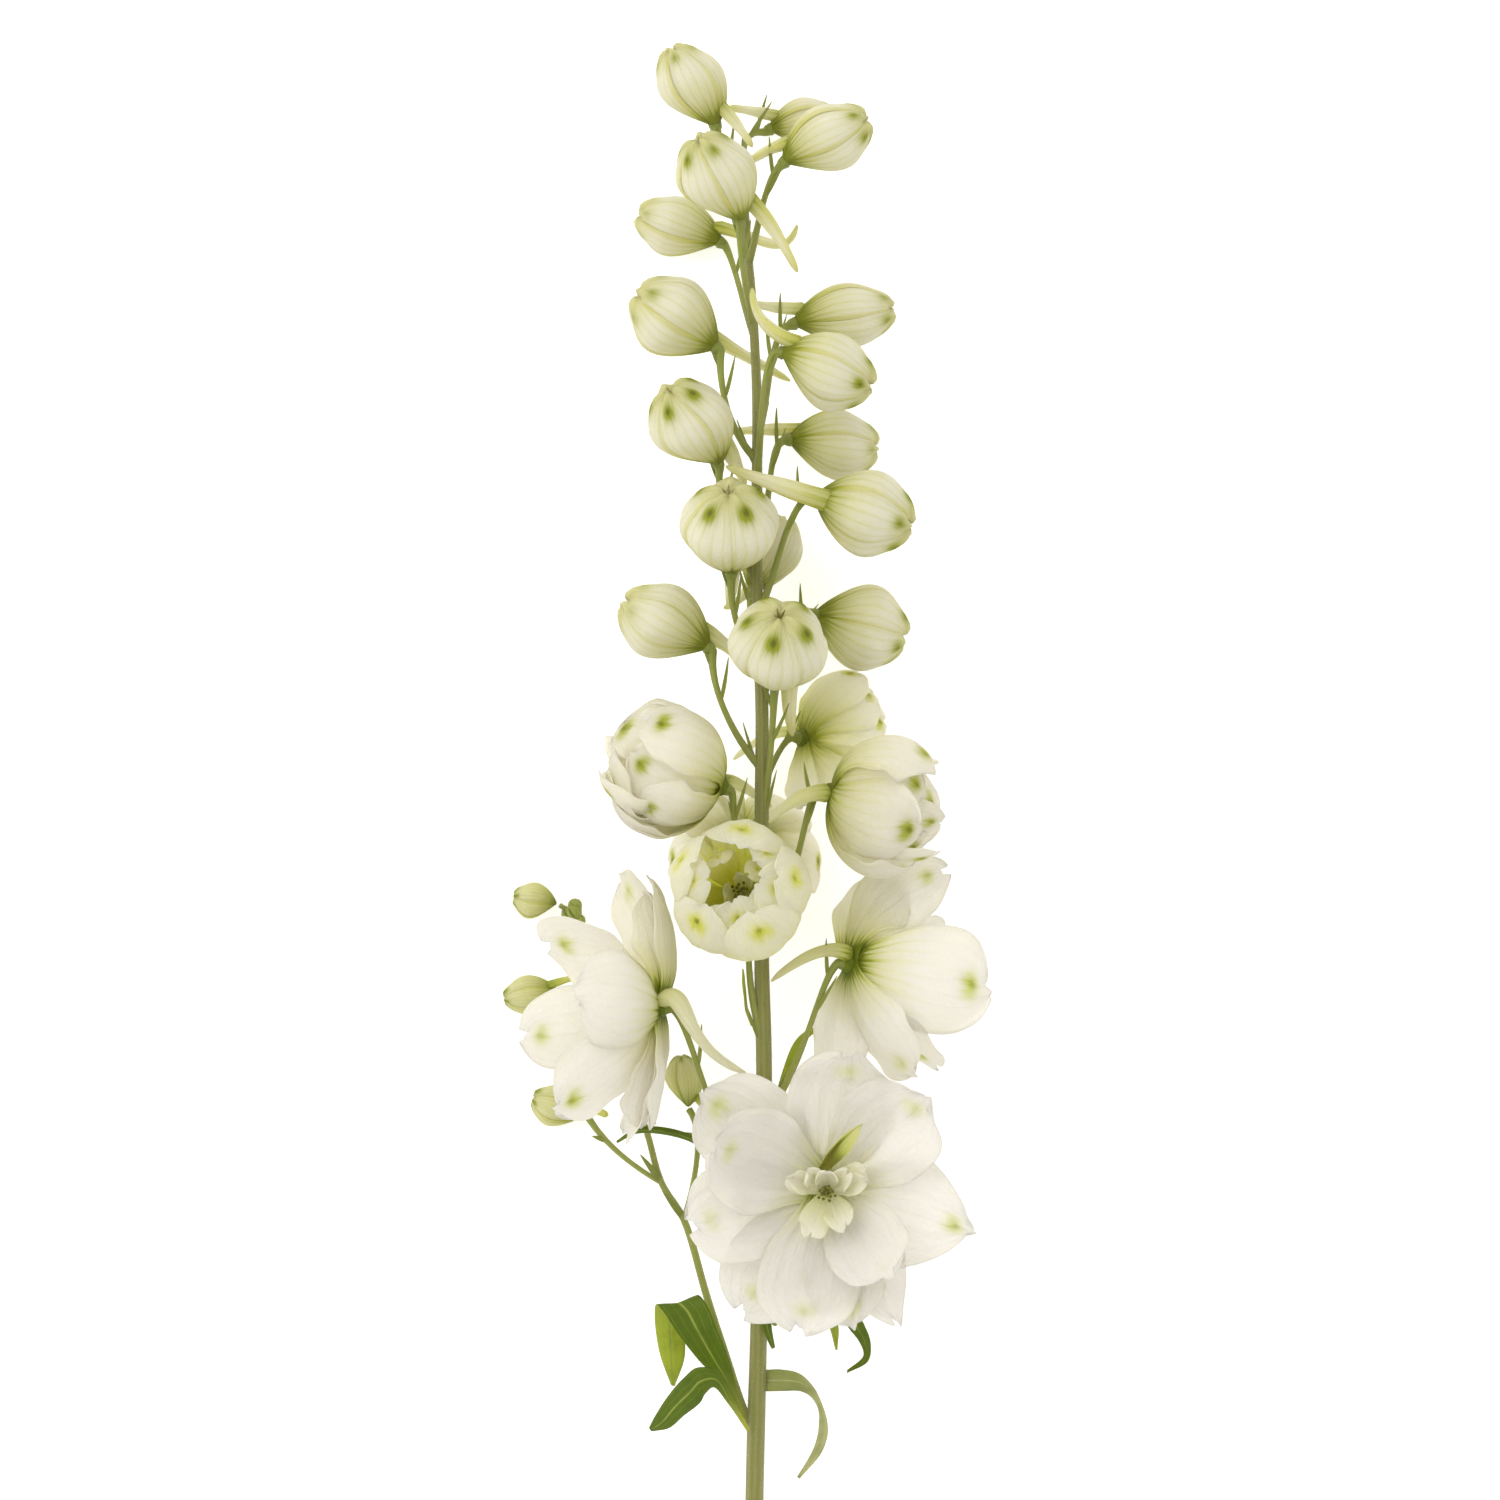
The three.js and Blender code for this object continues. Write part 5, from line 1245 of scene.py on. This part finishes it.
# %% A leaf between its two edges
def leaf_sheet(stations, keel, rows=54, columns=13):
    """Row i goes from the left edge to the right one. Between them the sheet is lowered by
    keel (1 - |s|) sin(...) along n, so that it is folded at the midrib."""
    edges = np.reshape(stations, (-1, 2, 3))
    left, right = through(edges[:, 0], rows), through(edges[:, 1], rows)
    t = np.linspace(0, 1, rows)[:, None]
    s = np.linspace(-1, 1, columns)[None, :]
    normal = unit(np.cross(right - left, np.gradient(left, axis=0)))
    fold = keel * np.sin(np.pi * (0.1 + 0.8 * t)) * (1 - np.abs(s) ** 1.3)
    wave = 0.12 * np.sin(11 * t + 1.5 * s) * np.abs(s) ** 2 * np.sin(np.pi * t)
    mix = (s[..., None] + 1) / 2
    return left[:, None] * (1 - mix) + right[:, None] * mix - normal[:, None] * (fold - wave)[..., None]


first_sheet = leaf_sheet(LEAVES["leaf_1"][2], LEAVES["leaf_1"][0])
print("the large leaf's midrib in mm:", round(run(first_sheet[:, first_sheet.shape[1] // 2])))

# %% Make the leaves and the free bracts
LEAF_BLADE, SHEATH_END = 0.4, 0.13
FACE_DOWN = ("leaf_1", "leaf_3", "leaf_4")  # their edges are listed so that the first face is the lower one
YELLOW_FOOT = {"leaf_1": 0.5, "leaf_2": 0.95}
for name, (keel, pale, stations) in LEAVES.items():
    sheet = leaf_sheet(stations, keel)
    finish = leaf_grey if name == "leaf_3" else leaf_pale if pale else leaf_green
    t = np.repeat(np.linspace(0, 1, sheet.shape[0]), sheet.shape[1])
    sheath = YELLOW_FOOT.get(name, 0.0) * np.exp(-(t / SHEATH_END) ** 2)
    paler = np.clip((t - 0.22) / 0.25, 0, 1) if name == "leaf_3" else 0 * t
    faces = [np.stack([np.maximum(side, paler), sheath], axis=-1) for side in (0.0, 1.0)]
    upper, lower = faces[::-1] if name in FACE_DOWN else faces
    make_piece(name + "_blade", [blade(sheet, LEAF_BLADE, upper, under=lower)], finish, name)
print("leaves and bracts:", len(LEAVES))

# %% [markdown]
# ## Hairs
#
# The stem and the side shoot carry a down of very short pale hairs, which shows as a soft edge
# against the light. Each is a three-sided spike of four faces. They are scattered with a fixed seed,
# so that the spike is the same each time.

# %% Scatter the hairs
HAIRS, HAIR_THINNESS = 2600, 0.035
HAIR_FACES = np.array([[0, 1, 2], [0, 3, 1], [1, 3, 2], [2, 3, 0]])


def hairs(stalks, count, seed):
    """A stalk is a path, its radii and its share of the hairs. For each hair a place along the path and a
    turn round it are drawn. Its foot is on the skin, and its tip is its length away, outwards and
    mostly leaning back towards the foot of the stem."""
    noise = np.random.default_rng(seed)
    points = []
    for path, radius, share in stalks:
        n = int(count * share)
        a, b, tangent = cross_frames(path)
        place = noise.uniform(0.5, len(path) - 1.5, n).astype(int)
        turn = noise.uniform(0, 2 * np.pi, n)[:, None]
        out = a[place] * np.cos(turn) + b[place] * np.sin(turn)
        side = a[place] * -np.sin(turn) + b[place] * np.cos(turn)
        slide = tangent[place] * noise.uniform(-0.5, 0.5, n)[:, None]
        foot = path[place] + out * (radius[place][:, None] * 0.97) + slide
        size = noise.uniform(0.35, 0.8, n)[:, None]
        thin = HAIR_THINNESS
        corners = [foot + side * thin, foot - side * thin, foot + tangent[place] * thin * 1.7]
        tip = foot + out * size - tangent[place] * size * noise.uniform(-0.1, 0.5, n)[:, None]
        points.append(np.stack([*corners, tip], axis=1).reshape(-1, 3))
    points = np.concatenate(points)
    triangles = (np.arange(0, len(points), 4)[:, None, None] + HAIR_FACES).reshape(-1, 3)
    chart = np.broadcast_to(np.array([[0.0, 0.0], [1.0, 0.0], [0.5, 1.0]]), (len(triangles), 3, 2))
    return patch(points, np.zeros((0, 4), int), np.zeros((0, 4, 2)), (0, 0), triangles, chart)


down = hairs([(stem_path, stem_radius, 0.8), (side_path, side_radius, 0.2)], HAIRS, seed=7)
print("hairs:", len(down["points"]) // 4)


# %% The finish of the hairs, and their piece
def hair_finish():
    """Pale, half of it translucent, a little greyer towards the root."""
    f = Finish("hair_white")
    _, along = f.chart("tissue")
    colour = f.blend(rgb(206, 208, 180), rgb(244, 243, 232), along)
    return f.done(f.mix(0.5, f.skin(colour), f.glow(rgb(236, 236, 220))))


stem_down = make_piece("stem_down", [down], hair_finish(), None)
print("faces of the down:", len(stem_down.data.polygons))

# %% [markdown]
# ## Table, light and camera
#
# The spike lies on a light table in a white tent: light comes up through the petals from below and
# down on them from all round, so there are no hard shadows. The table is a plain pale sheet that
# glows a little. One large soft lamp at the upper left gives the petals some shape. The camera
# hangs high above with a long lens, so that near and far flowers are shown at nearly one scale.

# %% The light table
TABLE_REACH, TABLE_GLOW = 3.0, 0.42


def table_finish():
    """A pale matt sheet, faintly clouded, that also glows."""
    f = Finish("light_table")
    cloud = f.noise(f.node("TexCoord", output=3), 3.0, 2.0)
    colour = f.blend(rgb(250, 250, 250), rgb(254, 254, 254), cloud)
    return f.done(f.skin(colour, 0.8, Emission_Color=colour, Emission_Strength=TABLE_GLOW))


corners = [(x * TABLE_REACH, y * TABLE_REACH, 0) for x, y in ((-1, -1), (1, -1), (1, 1), (-1, 1))]
floor_mesh = bpy.data.meshes.new("light_table")
floor_mesh.from_pydata(corners, [], [(0, 1, 2, 3)])
floor_mesh.materials.append(table_finish())
floor = bpy.data.objects.new("light_table", floor_mesh)
bpy.context.scene.collection.objects.link(floor)
print("table in m:", 2 * TABLE_REACH)

# %% The tent and the lamp
SKY_STRENGTH, LAMP_SIDE, LAMP_WATTS = 0.92, 0.9, 4.6
LAMP_PLACE = (-0.55, 0.5, 0.9)
scene = bpy.context.scene
scene.view_settings.view_transform = "Standard"
scene.world = bpy.data.worlds.new("white_tent")
scene.world.use_nodes = True
sky = scene.world.node_tree.nodes["Background"]
sky.inputs["Color"].default_value = (1.0, 1.0, 1.0, 1.0)
sky.inputs["Strength"].default_value = SKY_STRENGTH

lamp_data = bpy.data.lights.new("soft_box", "AREA")
lamp_data.shape, lamp_data.energy = "RECTANGLE", LAMP_WATTS
lamp_data.size = lamp_data.size_y = LAMP_SIDE
lamp = bpy.data.objects.new("soft_box", lamp_data)
lamp.location = LAMP_PLACE
lamp.rotation_mode = "QUATERNION"
lamp.rotation_quaternion = (-lamp.location).to_track_quat("-Z", "Y")
scene.collection.objects.link(lamp)
print("lamp in W:", LAMP_WATTS)

# %% The camera
VIEW_CENTRE = (0.00068, 0.02475)
VIEW_SIDE = 0.315  # metres of table that the square picture shows
LENS, SENSOR, MIDDLE_HEIGHT = 300.0, 36.0, 0.03
camera_data = bpy.data.cameras.new("overhead")
camera_data.lens, camera_data.sensor_width = LENS, SENSOR
camera = bpy.data.objects.new("overhead", camera_data)
camera.location = (*VIEW_CENTRE, MIDDLE_HEIGHT + VIEW_SIDE * LENS / SENSOR)
camera_data.clip_start, camera_data.clip_end = 0.1, 20.0
scene.collection.objects.link(camera)
scene.camera = camera
print("camera height in m:", round(camera.location[2], 3))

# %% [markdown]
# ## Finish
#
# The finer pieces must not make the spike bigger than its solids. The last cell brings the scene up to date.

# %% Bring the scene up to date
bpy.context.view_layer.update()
